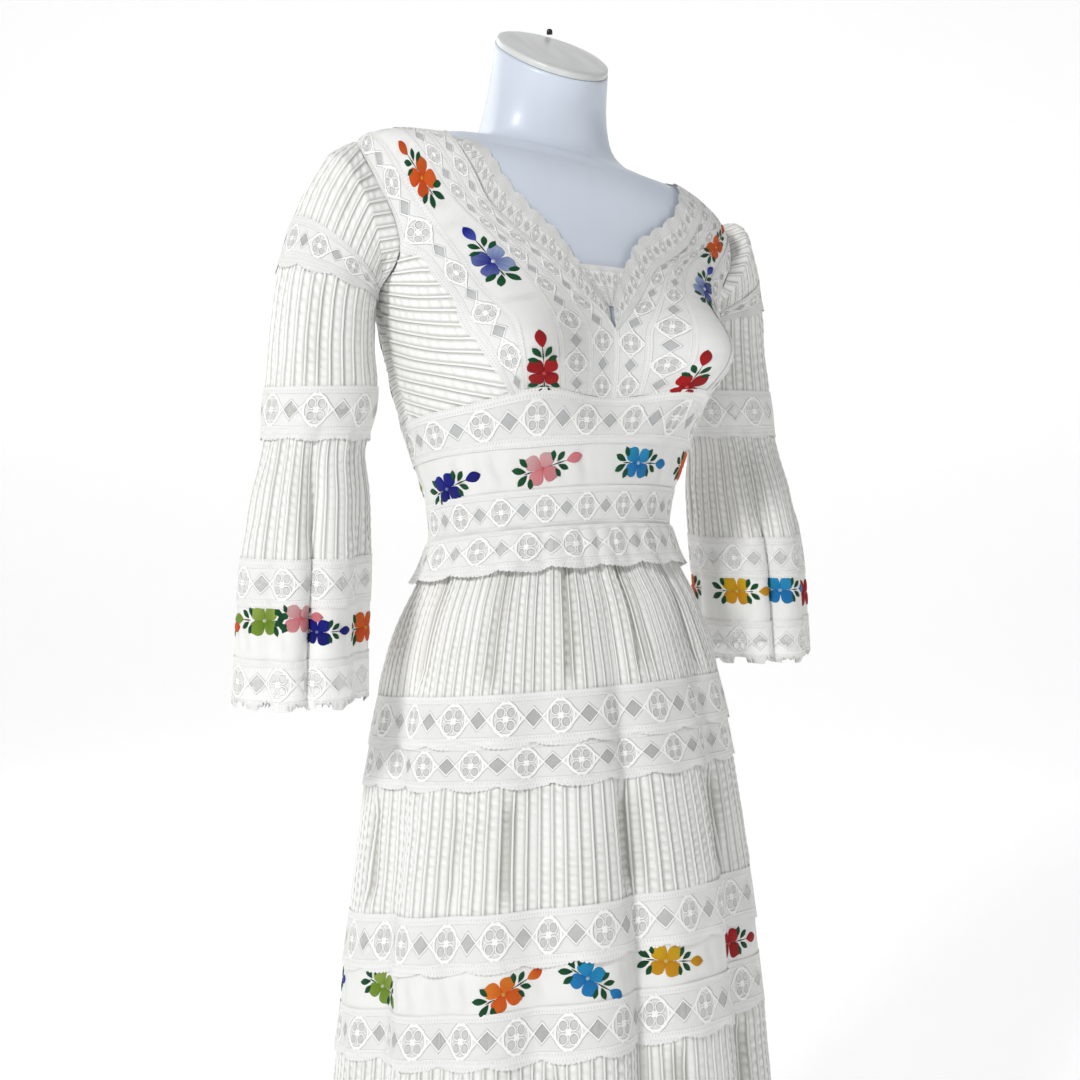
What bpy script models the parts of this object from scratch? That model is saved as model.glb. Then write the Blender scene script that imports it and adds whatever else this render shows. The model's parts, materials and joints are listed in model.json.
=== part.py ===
"""Mexican wedding dress on a limbless dress form, as closed solids.

Units are metres. +Z is up, the front of the dress faces -Y, and the origin is the centre of the base's
underside, on the floor. Each sewn piece is its own object: a strip or panel of a shared surface, with its
wall along the surface's normal.
"""

import math

import bpy
import numpy as np

# Walls and clearances
WALL = 0.0016
LACE_WALL = 0.0013
SEAM_GAP = 0.0008
LAP_GAP = 0.0005
SEAT_GAP = 0.0021
PART_GAP = 0.0004
EASE = 0.0044

# Stand
BASE_RADIUS = 0.17
BASE_HEIGHT = 0.014
BASE_EDGE = 0.003
POLE_RADIUS = 0.0127
CAP_HEIGHT = 0.006
CAP_MARGIN = 0.0015
CAP_CROWN = 0.0012
CAP_EDGE = 0.985
CAP_TOP = 0.94
SCREW_RADIUS = 0.003
SCREW_HEIGHT = 0.005
SCREW_PLACE = (0.0235, 0.040)
SCREW_CLEAR = 0.003

# Dress form, ring by ring from the slanted neck top down. level runs down the body, and from level 0.215 on
# the ring lies at FORM_TOP - level. rise and lean tip a ring about X and about Y.
FORM_TOP = 1.493
FORM_COLUMNS = ("level", "z", "half_width", "front", "back", "rise", "lean", "squareness")
FORM = np.array((
    (-0.140, 1.496, 0.055, 0.063, 0.053, 0.56, 0.000, 2.0),
    (-0.100, 1.468, 0.057, 0.055, 0.063, 0.40, 0.000, 2.0),
    (-0.070, 1.448, 0.059, 0.048, 0.073, 0.28, 0.000, 2.0),
    (-0.045, 1.430, 0.062, 0.044, 0.082, 0.18, -0.04, 2.0),
    (-0.020, 1.412, 0.068, 0.044, 0.090, 0.12, -0.07, 2.0),
    (0.005, 1.402, 0.082, 0.048, 0.092, 0.09, -0.11, 2.0),
    (0.040, 1.396, 0.115, 0.056, 0.092, 0.06, -0.143, 2.1),
    (0.075, 1.387, 0.153, 0.062, 0.094, 0.03, -0.11, 2.2),
    (0.105, 1.378, 0.182, 0.069, 0.097, 0.00, -0.143, 2.3),
    (0.130, 1.3645, 0.199, 0.075, 0.099, 0.00, -0.155, 2.4),
    (0.170, 1.322, 0.204, 0.082, 0.101, 0.00, -0.10, 2.4),
    (0.215, 1.278, 0.187, 0.095, 0.102, 0.00, -0.04, 2.4),
    (0.265, 1.228, 0.174, 0.111, 0.100, 0.00, -0.02, 2.4),
    (0.315, 1.178, 0.163, 0.112, 0.097, 0.00, 0.000, 2.3),
    (0.355, 1.138, 0.152, 0.106, 0.093, 0.00, 0.000, 2.3),
    (0.400, 1.093, 0.138, 0.098, 0.088, 0.00, 0.000, 2.2),
    (0.435, 1.058, 0.127, 0.092, 0.085, 0.00, 0.000, 2.1),
    (0.465, 1.028, 0.122, 0.090, 0.084, 0.00, 0.000, 2.1),
    (0.505, 0.988, 0.127, 0.091, 0.087, 0.00, 0.000, 2.1),
    (0.555, 0.938, 0.138, 0.093, 0.094, 0.00, 0.000, 2.1),
    (0.625, 0.868, 0.152, 0.096, 0.106, 0.00, 0.000, 2.2),
    (0.690, 0.803, 0.156, 0.094, 0.110, 0.00, 0.000, 2.2),
    (0.750, 0.743, 0.148, 0.088, 0.102, 0.00, 0.000, 2.2),
))
CUP = {"across": 0.085, "z": 1.202, "spread": 0.045, "height": 0.047, "sideways": 0.5, "forwards": 0.87,
       "slack": 0.003, "ramp": 1.6}

# Seams round the body and skirt. Each is the seam's height at the side, and the front sits higher.
TILT = 0.20
MIDRIFF_TOP = 1.135
BAND_TOP = 1.099
BAND_LOW = 1.0555
WAIST_SEAM = 1.018
FLOUNCE_LOW = 0.982
ARCH = {"across": 0.075, "spread": 0.04, "height": 0.013}

# Skirt plan at each height, seen from above
SKIRT_COLUMNS = ("z", "half_width", "front", "back", "fold", "tilt")
SKIRT = np.array((
    (1.018, 0.1265, 0.0945, 0.0885, 0.00, 0.20),
    (0.985, 0.136, 0.103, 0.100, 0.05, 0.17),
    (0.945, 0.154, 0.125, 0.130, 0.15, 0.15),
    (0.900, 0.168, 0.143, 0.150, 0.25, 0.13),
    (0.857, 0.177, 0.156, 0.160, 0.35, 0.13),
    (0.772, 0.189, 0.174, 0.178, 0.55, 0.14),
    (0.657, 0.204, 0.194, 0.198, 0.80, 0.21),
    (0.590, 0.211, 0.202, 0.206, 0.90, 0.23),
    (0.536, 0.216, 0.208, 0.212, 1.00, 0.22),
    (0.300, 0.240, 0.234, 0.238, 1.25, 0.15),
    (0.100, 0.262, 0.256, 0.260, 1.45, 0.08),
))
SKIRT_SQUARENESS = 2.1

# Folds of the skirt: azimuth from the front, half angle and depth
FOLDS = np.array((
    (-84.0, 8.0, 0.021),
    (-58.5, 6.0, 0.009),
    (-35.0, 8.5, 0.018),
    (-6.0, 7.0, 0.026),
    (34.6, 8.5, 0.022),
    (71.0, 7.5, 0.017),
    (111.0, 9.0, 0.023),
    (146.0, 7.5, 0.016),
    (186.0, 8.5, 0.024),
    (231.0, 8.5, 0.022),
))
GATHERS = {"count": 36, "height": 0.0026, "fall": 0.070, "start": 0.006, "uneven": 0.2}
TIER_SEAMS = {
    "tier_1": 0.868, "lace_a": 0.824, "lace_b": 0.785, "tier_2": 0.658, "lace_c": 0.607,
    "band": 0.565, "lace_d": 0.520, "tier_3": 0.140, "hem": 0.100,
}
LAP = 0.003
SKIRT_SIDES = 60
GATHER_SIDES = 108
BODY_SIDES = 40
FORM_SIDES = 26

# Sleeve rings. turn is the ring's tip from level; along and up are the ring's centre.
SLEEVE_COLUMNS = ("s", "turn", "along", "behind", "up", "across", "depth")
SLEEVE = np.array((
    (1.316, 69.0, 0.2122, 0.008, 1.3086, 0.0594, 0.050),
    (1.298, 49.6, 0.2208, 0.016, 1.2890, 0.0505, 0.052),
    (1.270, 26.0, 0.2270, 0.024, 1.2660, 0.0456, 0.051),
    (1.243, 8.1, 0.2313, 0.028, 1.2430, 0.0462, 0.051),
    (1.215, 0.0, 0.2338, 0.030, 1.2150, 0.0480, 0.052),
    (1.145, 0.0, 0.2390, 0.026, 1.1450, 0.0510, 0.052),
    (1.124, 0.0, 0.2445, 0.024, 1.1240, 0.0480, 0.048),
    (1.060, 0.0, 0.2540, 0.019, 1.0600, 0.0570, 0.058),
    (1.000, 0.0, 0.2615, 0.014, 1.0000, 0.0620, 0.064),
    (0.950, 0.0, 0.2660, 0.011, 0.9500, 0.0625, 0.065),
    (0.878, 0.0, 0.2700, 0.010, 0.8780, 0.0625, 0.065),
))
SLEEVE_LEAN = {"low": 1.20, "high": 1.33, "share": -0.07}
SLEEVE_TOP = 1.334
SLEEVE_SEAMS = {
    "cap": 1.284, "upper_lace": 1.262, "middle": 1.166, "elbow_lace": 1.124, "bell": 1.009,
    "bell_lace": 0.9695, "bell_band": 0.919, "cuff_lace": 0.878,
}
# Folds of the bell: azimuth from the front, half angle and depth
SLEEVE_FOLDS = np.array((
    (-50.0, 9.0, 0.006),
    (-18.0, 10.0, 0.018),
    (40.0, 14.0, 0.010),
    (104.0, 15.0, 0.009),
    (176.0, 14.0, 0.010),
    (248.0, 15.0, 0.009),
))
BELL_GATHERS = {"count": 14, "height": 0.0016, "fall": 0.045, "start": 0.006, "uneven": 0.2}
BELL_FOLD_RISE = {"above": 0.02, "over": 0.14}
SLEEVE_SIDES = 24
BELL_SIDES = 42
# Armhole seam. phi goes round it from its top, rising towards the front, and angle is from the side.
ARMHOLE_COLUMNS = ("phi", "angle", "level")
ARMHOLE = np.array((
    (-180.0, 4.0, 0.2395),
    (-140.0, 9.0, 0.2265),
    (-90.0, 14.0, 0.186),
    (-45.0, 13.0, 0.146),
    (0.0, 8.0, 0.129),
    (30.0, 0.5, 0.1365),
    (60.0, -7.0, 0.157),
    (90.0, -11.4, 0.182),
    (115.0, -12.2, 0.203),
    (140.0, -9.0, 0.221),
    (160.0, -3.5, 0.2315),
    (180.0, 4.0, 0.2395),
))
PANEL_START = {"front": 115.0, "back": -112.0}

# Bodice seam lines, from the shoulder line down to the midriff: level, and share of the half width
FRONT_LINES = {
    "neck": ((0.042, 1.0), (0.090, 0.74), (0.127, 0.563), (0.152, 0.465), (0.169, 0.355),
             (0.188, 0.232), (0.214, 0.146), (0.253, 0.004)),
    "edging": ((0.060, 1.0), (0.105, 0.80), (0.143, 0.63), (0.170, 0.535), (0.190, 0.43),
               (0.2075, 0.31), (0.2335, 0.20), (0.2715, 0.004)),
    "inner": ((0.060, 1.0), (0.105, 0.80), (0.143, 0.63), (0.170, 0.535), (0.190, 0.43),
              (0.208, 0.31), (0.235, 0.20), (0.275, 0.004), (0.310, 0.004), (0.345, 0.004)),
    "strap_in": ((0.092, 1.0), (0.115, 0.94), (0.138, 0.84), (0.169, 0.70), (0.198, 0.56),
                 (0.218, 0.496), (0.250, 0.405), (0.278, 0.365), (0.310, 0.352), (0.345, 0.344)),
    "strap_out": ((0.120, 1.0), (0.136, 0.962), (0.154, 0.90), (0.178, 0.827), (0.199, 0.774),
                  (0.219, 0.73), (0.240, 0.688), (0.258, 0.614), (0.272, 0.56), (0.293, 0.537),
                  (0.345, 0.535)),
    "rim": ((0.139, 1.0), (0.158, 0.972), (0.176, 0.945), (0.192, 0.935), (0.203, 0.94), (0.212, 0.885),
            (0.230, 0.844), (0.250, 0.80), (0.273, 0.765), (0.295, 0.68), (0.320, 0.62), (0.345, 0.60)),
    "outer": ((0.203, 0.94), (0.212, 0.885), (0.230, 0.844), (0.250, 0.80), (0.273, 0.765),
              (0.295, 0.68), (0.320, 0.62), (0.345, 0.60)),
}
BACK_LINES = {
    "neck": ((0.042, 1.0), (0.050, 0.80), (0.058, 0.50), (0.064, 0.20), (0.066, 0.004)),
    "edging": ((0.060, 1.0), (0.068, 0.80), (0.076, 0.50), (0.083, 0.20), (0.086, 0.004)),
    "inner": ((0.060, 1.0), (0.068, 0.80), (0.077, 0.60), (0.095, 0.52), (0.140, 0.45), (0.200, 0.40),
              (0.300, 0.30), (0.370, 0.25)),
    "panel": ((0.080, 0.575), (0.095, 0.52), (0.140, 0.45), (0.200, 0.40), (0.300, 0.30), (0.370, 0.25)),
    "strap_in": ((0.092, 1.0), (0.104, 0.93), (0.141, 0.80), (0.200, 0.68), (0.300, 0.54), (0.370, 0.49)),
    "strap_out": ((0.120, 1.0), (0.115, 0.97), (0.120, 0.93), (0.130, 0.88), (0.150, 0.85), (0.180, 0.84),
                  (0.228, 0.80), (0.300, 0.76), (0.370, 0.72)),
    "rim": ((0.139, 1.0), (0.130, 0.98), (0.146, 0.94), (0.186, 0.932), (0.206, 0.955), (0.235, 0.955),
            (0.300, 0.915), (0.370, 0.90)),
    "outer": ((0.206, 0.955), (0.235, 0.955), (0.300, 0.915), (0.370, 0.90)),
}
MODESTY_TOP = 0.212
MODESTY_LOW = 0.238
MODESTY_REACH = 0.0012
STRAP_ROWS = {"front": 15, "back": 14}

# Spacing of rings and rows
MEAN_RADIUS = 0.13
UNDERARM = math.radians(179.99)
NECK_INSET = 0.0022
SHOULDER_LEVEL = 0.13
SHOULDER_CLOSER = 1.5

# Colours, roughness and metallic value
COTTON = ((0.86, 0.86, 0.83), 0.85, 0.0)
LACE = ((0.88, 0.88, 0.86), 0.90, 0.0)
PLASTIC = ((0.80, 0.84, 0.90), 0.18, 0.0)
METAL = ((0.55, 0.56, 0.58), 0.35, 1.0)
DARK_METAL = ((0.06, 0.06, 0.07), 0.40, 1.0)


def clear_scene():
    """Remove whatever the scene holds."""
    for old in list(bpy.data.objects):
        bpy.data.objects.remove(old, do_unlink=True)


def through(knots, values, at):
    """Smooth curve through the values at the knots, read at each point of at."""
    knots, values = np.asarray(knots, float), np.asarray(values, float)
    slope = np.gradient(values, knots)
    at = np.clip(at, knots[0], knots[-1])
    i = np.clip(np.searchsorted(knots, at, side="right") - 1, 0, len(knots) - 2)
    step = knots[i + 1] - knots[i]
    u = (at - knots[i]) / step
    rising = u * (1 - u) ** 2 * slope[i] + u * u * (u - 1) * slope[i + 1]
    return (1 + 2 * u) * (1 - u) ** 2 * values[i] + u * u * (3 - 2 * u) * values[i + 1] + step * rising


def row_at(table, names, at):
    """Values of every named column of a table at these points of its first column."""
    order = 1 if table[0, 0] < table[-1, 0] else -1
    return {name: through(table[::order, 0], table[::order, k], at) for k, name in enumerate(names) if k}


def polar_radius(theta, half_width, front, back, squareness):
    """Radius at angle theta of a ring with unlike front and back depths."""
    depth = np.where(np.sin(theta) < 0, front, back)
    across = np.abs(np.cos(theta) / half_width) ** squareness
    return (across + np.abs(np.sin(theta) / depth) ** squareness) ** (-1 / squareness)


def form_surface(theta, level, slack=0.0):
    """Point of the body at angle theta from +X and at a level. slack flattens the cups."""
    ring = row_at(FORM, FORM_COLUMNS, level)
    radius = polar_radius(theta, ring["half_width"], ring["front"], ring["back"], ring["squareness"])
    x, y = radius * np.cos(theta), radius * np.sin(theta)
    z = ring["z"] + ring["rise"] * y + ring["lean"] * x
    swell = (CUP["height"] - slack) * np.exp(
        -((np.abs(x) - CUP["across"]) / CUP["spread"]) ** 2 - ((z - CUP["z"]) / CUP["spread"]) ** 2)
    swell = swell * np.clip(-y / ring["front"] * CUP["ramp"], 0, 1)
    return np.stack([x + np.sign(x) * swell * CUP["sideways"], y - swell * CUP["forwards"], z], -1)


def outward(surface, u, v, step=2e-4):
    """Unit normal of surface(u, v), for surfaces whose v runs downwards."""
    across = surface(u + step, v) - surface(u - step, v)
    down = surface(u, v + step) - surface(u, v - step)
    normal = np.cross(down, across)
    return normal / (np.linalg.norm(normal, axis=-1, keepdims=True) + 1e-12)


def ease_at(level):
    """Gap between the form and the bodice: seated on the shoulders, eased below them."""
    return SEAT_GAP + (EASE - SEAT_GAP) * np.clip((level - 0.09) / 0.12, 0, 1)


def bodice_surface(theta, level):
    """Inner face of the bodice."""
    return form_surface(theta, level) + outward(form_surface, theta, level) * ease_at(level)[..., None]


def folded(theta, folds, share):
    """Inward shift at angle theta of folds whose azimuths count from the front."""
    azimuth = np.degrees(theta) + 90.0
    shift = np.zeros(np.broadcast(theta, share).shape)
    for place, half_angle, depth in folds:
        apart = (azimuth - place + 180.0) % 360.0 - 180.0
        shift = shift + depth * np.exp(-(apart / half_angle) ** 2)
    return shift * share


def gathered(theta, gathers, below):
    """Outward ripple of gathers, which starts at its seam and dies away below it."""
    fade = np.exp(-np.maximum(below, 0) / gathers["fall"]) * np.clip(below / gathers["start"], 0, 1)
    uneven = 1 - gathers["uneven"] * (1 - np.sin(3 * theta + 1.0))
    return gathers["height"] * fade * uneven * np.cos(gathers["count"] * theta)


def skirt_surface(theta, drop, lift=0.0, ripple=1.0):
    """Inner face of the skirt at angle theta. drop is the distance down from the waist seam."""
    z = WAIST_SEAM - drop
    ring = row_at(SKIRT, SKIRT_COLUMNS, z)
    radius = polar_radius(theta, ring["half_width"], ring["front"], ring["back"], SKIRT_SQUARENESS)
    radius = radius - folded(theta, FOLDS, ring["fold"]) + ripple * gathered(theta, GATHERS, drop) + lift
    x, y = radius * np.cos(theta), radius * np.sin(theta)
    return np.stack([x, y, z - ring["tilt"] * y], -1)


def armhole(phi):
    """Angle and level of the armhole seam. phi is 0 at its top and 90 degrees at its front."""
    row = row_at(ARMHOLE, ARMHOLE_COLUMNS, (np.degrees(phi) + 180.0) % 360.0 - 180.0)
    return np.radians(row["angle"]), row["level"]


def sleeve_surface(side):
    """Inner face of one sleeve, as a function of the angle phi and the drop below SLEEVE_TOP."""

    def surface(phi, drop):
        s = SLEEVE_TOP - drop
        row = row_at(SLEEVE, SLEEVE_COLUMNS, s)
        turn = np.radians(row["turn"])
        out = np.stack([np.cos(phi), -np.sin(phi)], -1)
        world = np.arctan2(out[..., 1], out[..., 0] * side)
        below = SLEEVE_SEAMS["elbow_lace"] - s
        share = np.clip((below + BELL_FOLD_RISE["above"]) / BELL_FOLD_RISE["over"], 0, 1)
        shift = gathered(phi, BELL_GATHERS, below) - folded(world, SLEEVE_FOLDS, share)
        reach = row["across"] + shift
        x = row["along"] + reach * out[..., 0] * np.cos(turn)
        z = row["up"] + reach * out[..., 0] * np.sin(turn)
        rise = np.clip((z - SLEEVE_LEAN["low"]) / (SLEEVE_LEAN["high"] - SLEEVE_LEAN["low"]), 0, 1)
        z = z + SLEEVE_LEAN["share"] * rise * side * x
        ring = np.stack([side * x, row["behind"] + (row["depth"] + shift) * out[..., 1], z], -1)
        angle, level = armhole(phi)
        theta = angle if side > 0 else math.pi - angle
        seat = ease_at(level) + WALL + LAP_GAP * 2
        seam = form_surface(theta, level) + outward(form_surface, theta, level) * seat[..., None]
        blend = np.clip((s - SLEEVE[0, 0]) / (SLEEVE_TOP - SLEEVE[0, 0]), 0, 1)[..., None]
        return ring * (1 - blend) + seam * blend

    return surface


def finish(mesh, name, look):
    """Object from a mesh, with its material, in the dress collection."""
    obj = bpy.data.objects.new(name, mesh)
    bpy.data.collections["mexican_wedding_dress"].objects.link(obj)
    colour, roughness, metallic = look
    material = bpy.data.materials.new(name)
    material.use_nodes = True
    shader = material.node_tree.nodes["Principled BSDF"]
    shader.inputs["Base Color"].default_value = (*colour, 1.0)
    shader.inputs["Roughness"].default_value = roughness
    shader.inputs["Metallic"].default_value = metallic
    mesh.materials.append(material)
    for face in mesh.polygons:
        face.use_smooth = True
    return obj


def grid_faces(rows, columns, closed):
    """Quads of a grid whose faces look along the row step crossed with the column step."""
    row = np.arange(rows - 1)[:, None]
    column = np.arange(columns if closed else columns - 1)[None, :]
    after = (column + 1) % columns
    corners = [row * columns + column, (row + 1) * columns + column,
               (row + 1) * columns + after, row * columns + after]
    return np.stack(np.broadcast_arrays(*corners), -1).reshape(-1, 4)


def cloth(name, points, closed, look=COTTON, wall=WALL):
    """Sheet through a grid of points, with its wall built outwards from it."""
    rows, columns = points.shape[:2]
    mesh = bpy.data.meshes.new(name)
    mesh.from_pydata(points.reshape(-1, 3).tolist(), [], grid_faces(rows, columns, closed).tolist())
    obj = finish(mesh, name, look)
    thick = obj.modifiers.new("wall", "SOLIDIFY")
    thick.thickness = wall
    thick.offset = 1.0
    thick.use_even_offset = False
    return obj


def loft(name, rings, look):
    """Closed solid through rings of points, with flat ends."""
    rows, columns = rings.shape[:2]
    faces = grid_faces(rows, columns, True).tolist()
    faces.append(list(range(columns)))
    faces.append([(rows - 1) * columns + k for k in reversed(range(columns))])
    mesh = bpy.data.meshes.new(name)
    mesh.from_pydata(rings.reshape(-1, 3).tolist(), [], faces)
    return finish(mesh, name, look)


def turned(name, profile, look, place=(0.0, 0.0), sides=48):
    """Solid of revolution about a vertical axis. profile is (radius, z) from the top down."""
    phi = np.arange(sides) * 2 * math.pi / sides
    radius, z = np.array(profile).T
    x = place[0] + radius[:, None] * np.cos(phi)
    y = place[1] + radius[:, None] * np.sin(phi)
    return loft(name, np.stack([x, y, np.broadcast_to(z[:, None], x.shape)], -1), look)


def build_form():
    """Torso, neck cap, screw, pole and base."""
    levels = np.array([*np.linspace(-0.14, -0.05, 3), *np.linspace(-0.03, 0.13, 11),
                       *np.linspace(0.155, 0.37, 9), 0.42, 0.465, 0.51, 0.57, 0.63, 0.70, 0.75])
    theta = (np.arange(FORM_SIDES) + 0.5) * 2 * math.pi / FORM_SIDES
    loft("form_torso", form_surface(theta[None, :], levels[:, None], CUP["slack"]), PLASTIC)
    rim = form_surface(theta, np.full(theta.shape, FORM[0, 0]))
    middle = rim.mean(axis=0)
    tip = FORM[0, 5]
    up = np.array([0.0, -tip, 1.0]) / math.hypot(tip, 1.0)
    narrower = 1 - CAP_MARGIN / FORM[0, 2]
    low = middle + (rim - middle) * narrower + up * PART_GAP
    high = middle + (rim - middle) * narrower * CAP_EDGE + up * (PART_GAP + CAP_HEIGHT)
    crown = middle + (rim - middle) * narrower * CAP_TOP + up * (PART_GAP + CAP_HEIGHT + CAP_CROWN)
    loft("neck_cap", np.stack([crown, high, low]), PLASTIC)
    foot = FORM[0, 1] + tip * SCREW_PLACE[1] + (CAP_HEIGHT + CAP_CROWN) * up[2] + SCREW_CLEAR
    turned("cap_screw", ((SCREW_RADIUS * 0.7, foot + SCREW_HEIGHT), (SCREW_RADIUS, foot + SCREW_HEIGHT * 0.7),
                         (SCREW_RADIUS, foot)), DARK_METAL, SCREW_PLACE, 12)
    turned("stand_pole", ((POLE_RADIUS, FORM[-1, 1] - PART_GAP), (POLE_RADIUS, BASE_HEIGHT + PART_GAP)),
           METAL, sides=16)
    turned("stand_base", ((BASE_RADIUS * 0.2, BASE_HEIGHT), (BASE_RADIUS - BASE_EDGE, BASE_HEIGHT * 0.72),
                          (BASE_RADIUS, BASE_HEIGHT * 0.45), (BASE_RADIUS, 0.0)), METAL, sides=40)


def seam_level(theta, height, arched=False):
    """Level at which the tilted seam of this side height crosses the angle theta."""
    level = np.full(np.shape(theta), FORM_TOP - height)
    point = form_surface(theta, level)
    lift = 0.0
    if arched:
        lift = ARCH["height"] * np.exp(-((np.abs(point[..., 0]) - ARCH["across"]) / ARCH["spread"]) ** 2)
        lift = lift * (point[..., 1] < 0)
    return level + TILT * point[..., 1] - lift


def seam_line(knots, front, to_midriff):
    """Line of (angle, level) on the left half, from knots of level and share of the half width."""
    level, out = np.array(knots, float).T
    wide, depth, square = (through(FORM[:, 0], FORM[:, k], level) for k in (2, 3 if front else 4, 7))
    y = depth * (1 - np.minimum(out, 1.0) ** square) ** (1 / square)
    angle = np.arctan2(y, out * wide) * (-1 if front else 1)
    if to_midriff:
        level[-1] = seam_level(angle[-1:], MIDRIFF_TOP, True)[0] - SEAM_GAP
    return np.stack([angle, level], -1)


def along_line(line):
    """Distance along a line of (angle, level), in metres on the form."""
    return np.concatenate([[0], np.cumsum(np.hypot(*(np.diff(line, axis=0) * (MEAN_RADIUS, 1.0)).T))])


def spaced(line, count):
    """The line resampled to count points, closest where the shoulder curves most."""
    knots = along_line(line)
    fine = np.linspace(0, knots[-1], 300)
    dense = np.stack([through(knots, line[:, k], fine) for k in (0, 1)], -1)
    widest = np.abs(line[:, 0]).max()
    dense[:, 0] = np.clip(dense[:, 0], -widest, widest)
    closeness = 1 + SHOULDER_CLOSER * (dense[1:, 1] < SHOULDER_LEVEL)
    length = np.concatenate([[0], np.cumsum(np.diff(along_line(dense)) * closeness)])
    at = np.linspace(0, length[-1], count)
    return np.stack([np.interp(at, length, dense[:, k]) for k in (0, 1)], -1)


def between(first, last, columns, margin):
    """Grid of (angle, level) between two lines, kept clear of both by margin metres."""
    apart = np.hypot(*((last - first) * (MEAN_RADIUS, 1.0)).T)
    inset = np.clip(margin / np.maximum(apart, 1e-4), 0, 0.3)[:, None]
    share = inset + (1 - 2 * inset) * np.linspace(0, 1, columns)[None, :]
    return first[:, None, :] + (last - first)[:, None, :] * share[..., None]


def on_body(name, patch, side, look=COTTON, wall=WALL):
    """Panel of the bodice from a grid of (angle, level) on the left half, mirrored where side is -1."""
    theta, level = patch[..., 0], patch[..., 1]
    if side < 0:
        theta, level = math.pi - theta[:, ::-1], level[:, ::-1]
    points = bodice_surface(theta, level)
    lengthways, across = points[1, 0] - points[0, 0], points[0, 1] - points[0, 0]
    if np.dot(np.cross(lengthways, across), outward(form_surface, theta, level)[0, 0]) < 0:
        points = points[:, ::-1]
    return cloth(name, points, False, look, wall)


def over_shoulder(key_in, key_out, counts, margin=SEAM_GAP / 2):
    """Grid of a strip from the front midriff over the shoulder to the back."""
    front_rows, back_rows, columns = counts
    halves = []
    for lines, front, rows in ((FRONT_LINES, True, front_rows), (BACK_LINES, False, back_rows)):
        ends = key_in != "neck"
        pair = [spaced(seam_line(lines[key], front, ends), rows) for key in (key_in, key_out)]
        halves.append(between(*pair, columns, margin))
        if ends:
            halves[-1][-1, :, 1] = seam_level(halves[-1][-1, :, 0], MIDRIFF_TOP, True) - SEAM_GAP
    front_half, back_half = halves
    return np.concatenate([front_half[::-1], back_half[1:]])


def side_panel(front, rows, columns):
    """Grid of the panel under the armhole, from the outer lace to the side seam."""
    lines = FRONT_LINES if front else BACK_LINES
    sign = -1 if front else 1
    outer = spaced(seam_line(lines["outer"], front, True), rows)
    start = math.radians(PANEL_START["front" if front else "back"])
    phi = np.linspace(start, math.copysign(UNDERARM, start), columns)
    angle, level = armhole(phi)
    margin = SEAM_GAP
    top = np.stack([angle, level + margin], -1)
    top[0] = outer[0]
    seam = np.linspace(0, 1, rows)[:, None]
    foot = np.array([0.0, seam_level(np.zeros(1), MIDRIFF_TOP, True)[0] - margin])
    side_seam = top[-1] * (1 - seam) + foot * seam
    bottom_angle = np.linspace(outer[-1, 0], 0.0, columns)
    bottom = np.stack([bottom_angle, seam_level(bottom_angle, MIDRIFF_TOP, True) - margin], -1)
    c = np.linspace(0, 1, columns)[None, :, None]
    t = seam[:, :, None]
    corners = (top[0] * (1 - c) + top[-1] * c) * (1 - t) + (bottom[0] * (1 - c) + bottom[-1] * c) * t
    patch = top[None] * (1 - t) + bottom[None] * t + outer[:, None] * (1 - c) + side_seam[:, None] * c - corners
    inset = SEAM_GAP / 2 / MEAN_RADIUS
    patch[..., 0] += sign * inset * (c[..., 0] - 3 * (1 - c[..., 0]))
    return patch


def back_panel(rows, columns):
    """Grid of the centre back panel, between the two inner lace rows."""
    line = spaced(seam_line(BACK_LINES["panel"], False, True), rows)
    low = seam_level(np.full(1, math.pi / 2), MIDRIFF_TOP, True)[0] - SEAM_GAP
    middle = np.stack([np.full(rows, math.pi / 2),
                       BACK_LINES["edging"][-1][0] + (low - BACK_LINES["edging"][-1][0])
                       * (line[:, 1] - line[0, 1]) / (line[-1, 1] - line[0, 1])], -1)
    middle[:, 1] += SEAM_GAP
    middle[-1, 1] = low
    share = np.linspace(-1, 1, columns)[None, :]
    margin = 1 - 2 * SEAM_GAP / MEAN_RADIUS
    angle = math.pi / 2 + (line[:, :1] - math.pi / 2) * share * -margin
    level = middle[:, 1:] + (line[:, 1:] - middle[:, 1:]) * share ** 2
    return np.stack([angle, level + SEAM_GAP * (1 - np.linspace(0, 1, rows))[:, None]], -1)


def modesty_panel(rows, columns):
    """Grid of the gathered lace across the V, between the two neck edges."""
    knots = np.array(FRONT_LINES["neck"])
    level = np.linspace(MODESTY_TOP, MODESTY_LOW, rows)
    out = through(knots[:, 0], knots[:, 1], level)
    edge = np.array([seam_line(((at, share),), True, False)[0, 0] for at, share in zip(level, out)])
    half = (edge + math.pi / 2 + MODESTY_REACH / MEAN_RADIUS)[:, None]
    angle = -math.pi / 2 + half * np.linspace(-1, 1, columns)[None, :]
    return np.stack([angle, np.broadcast_to(level[:, None], angle.shape)], -1)


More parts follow.
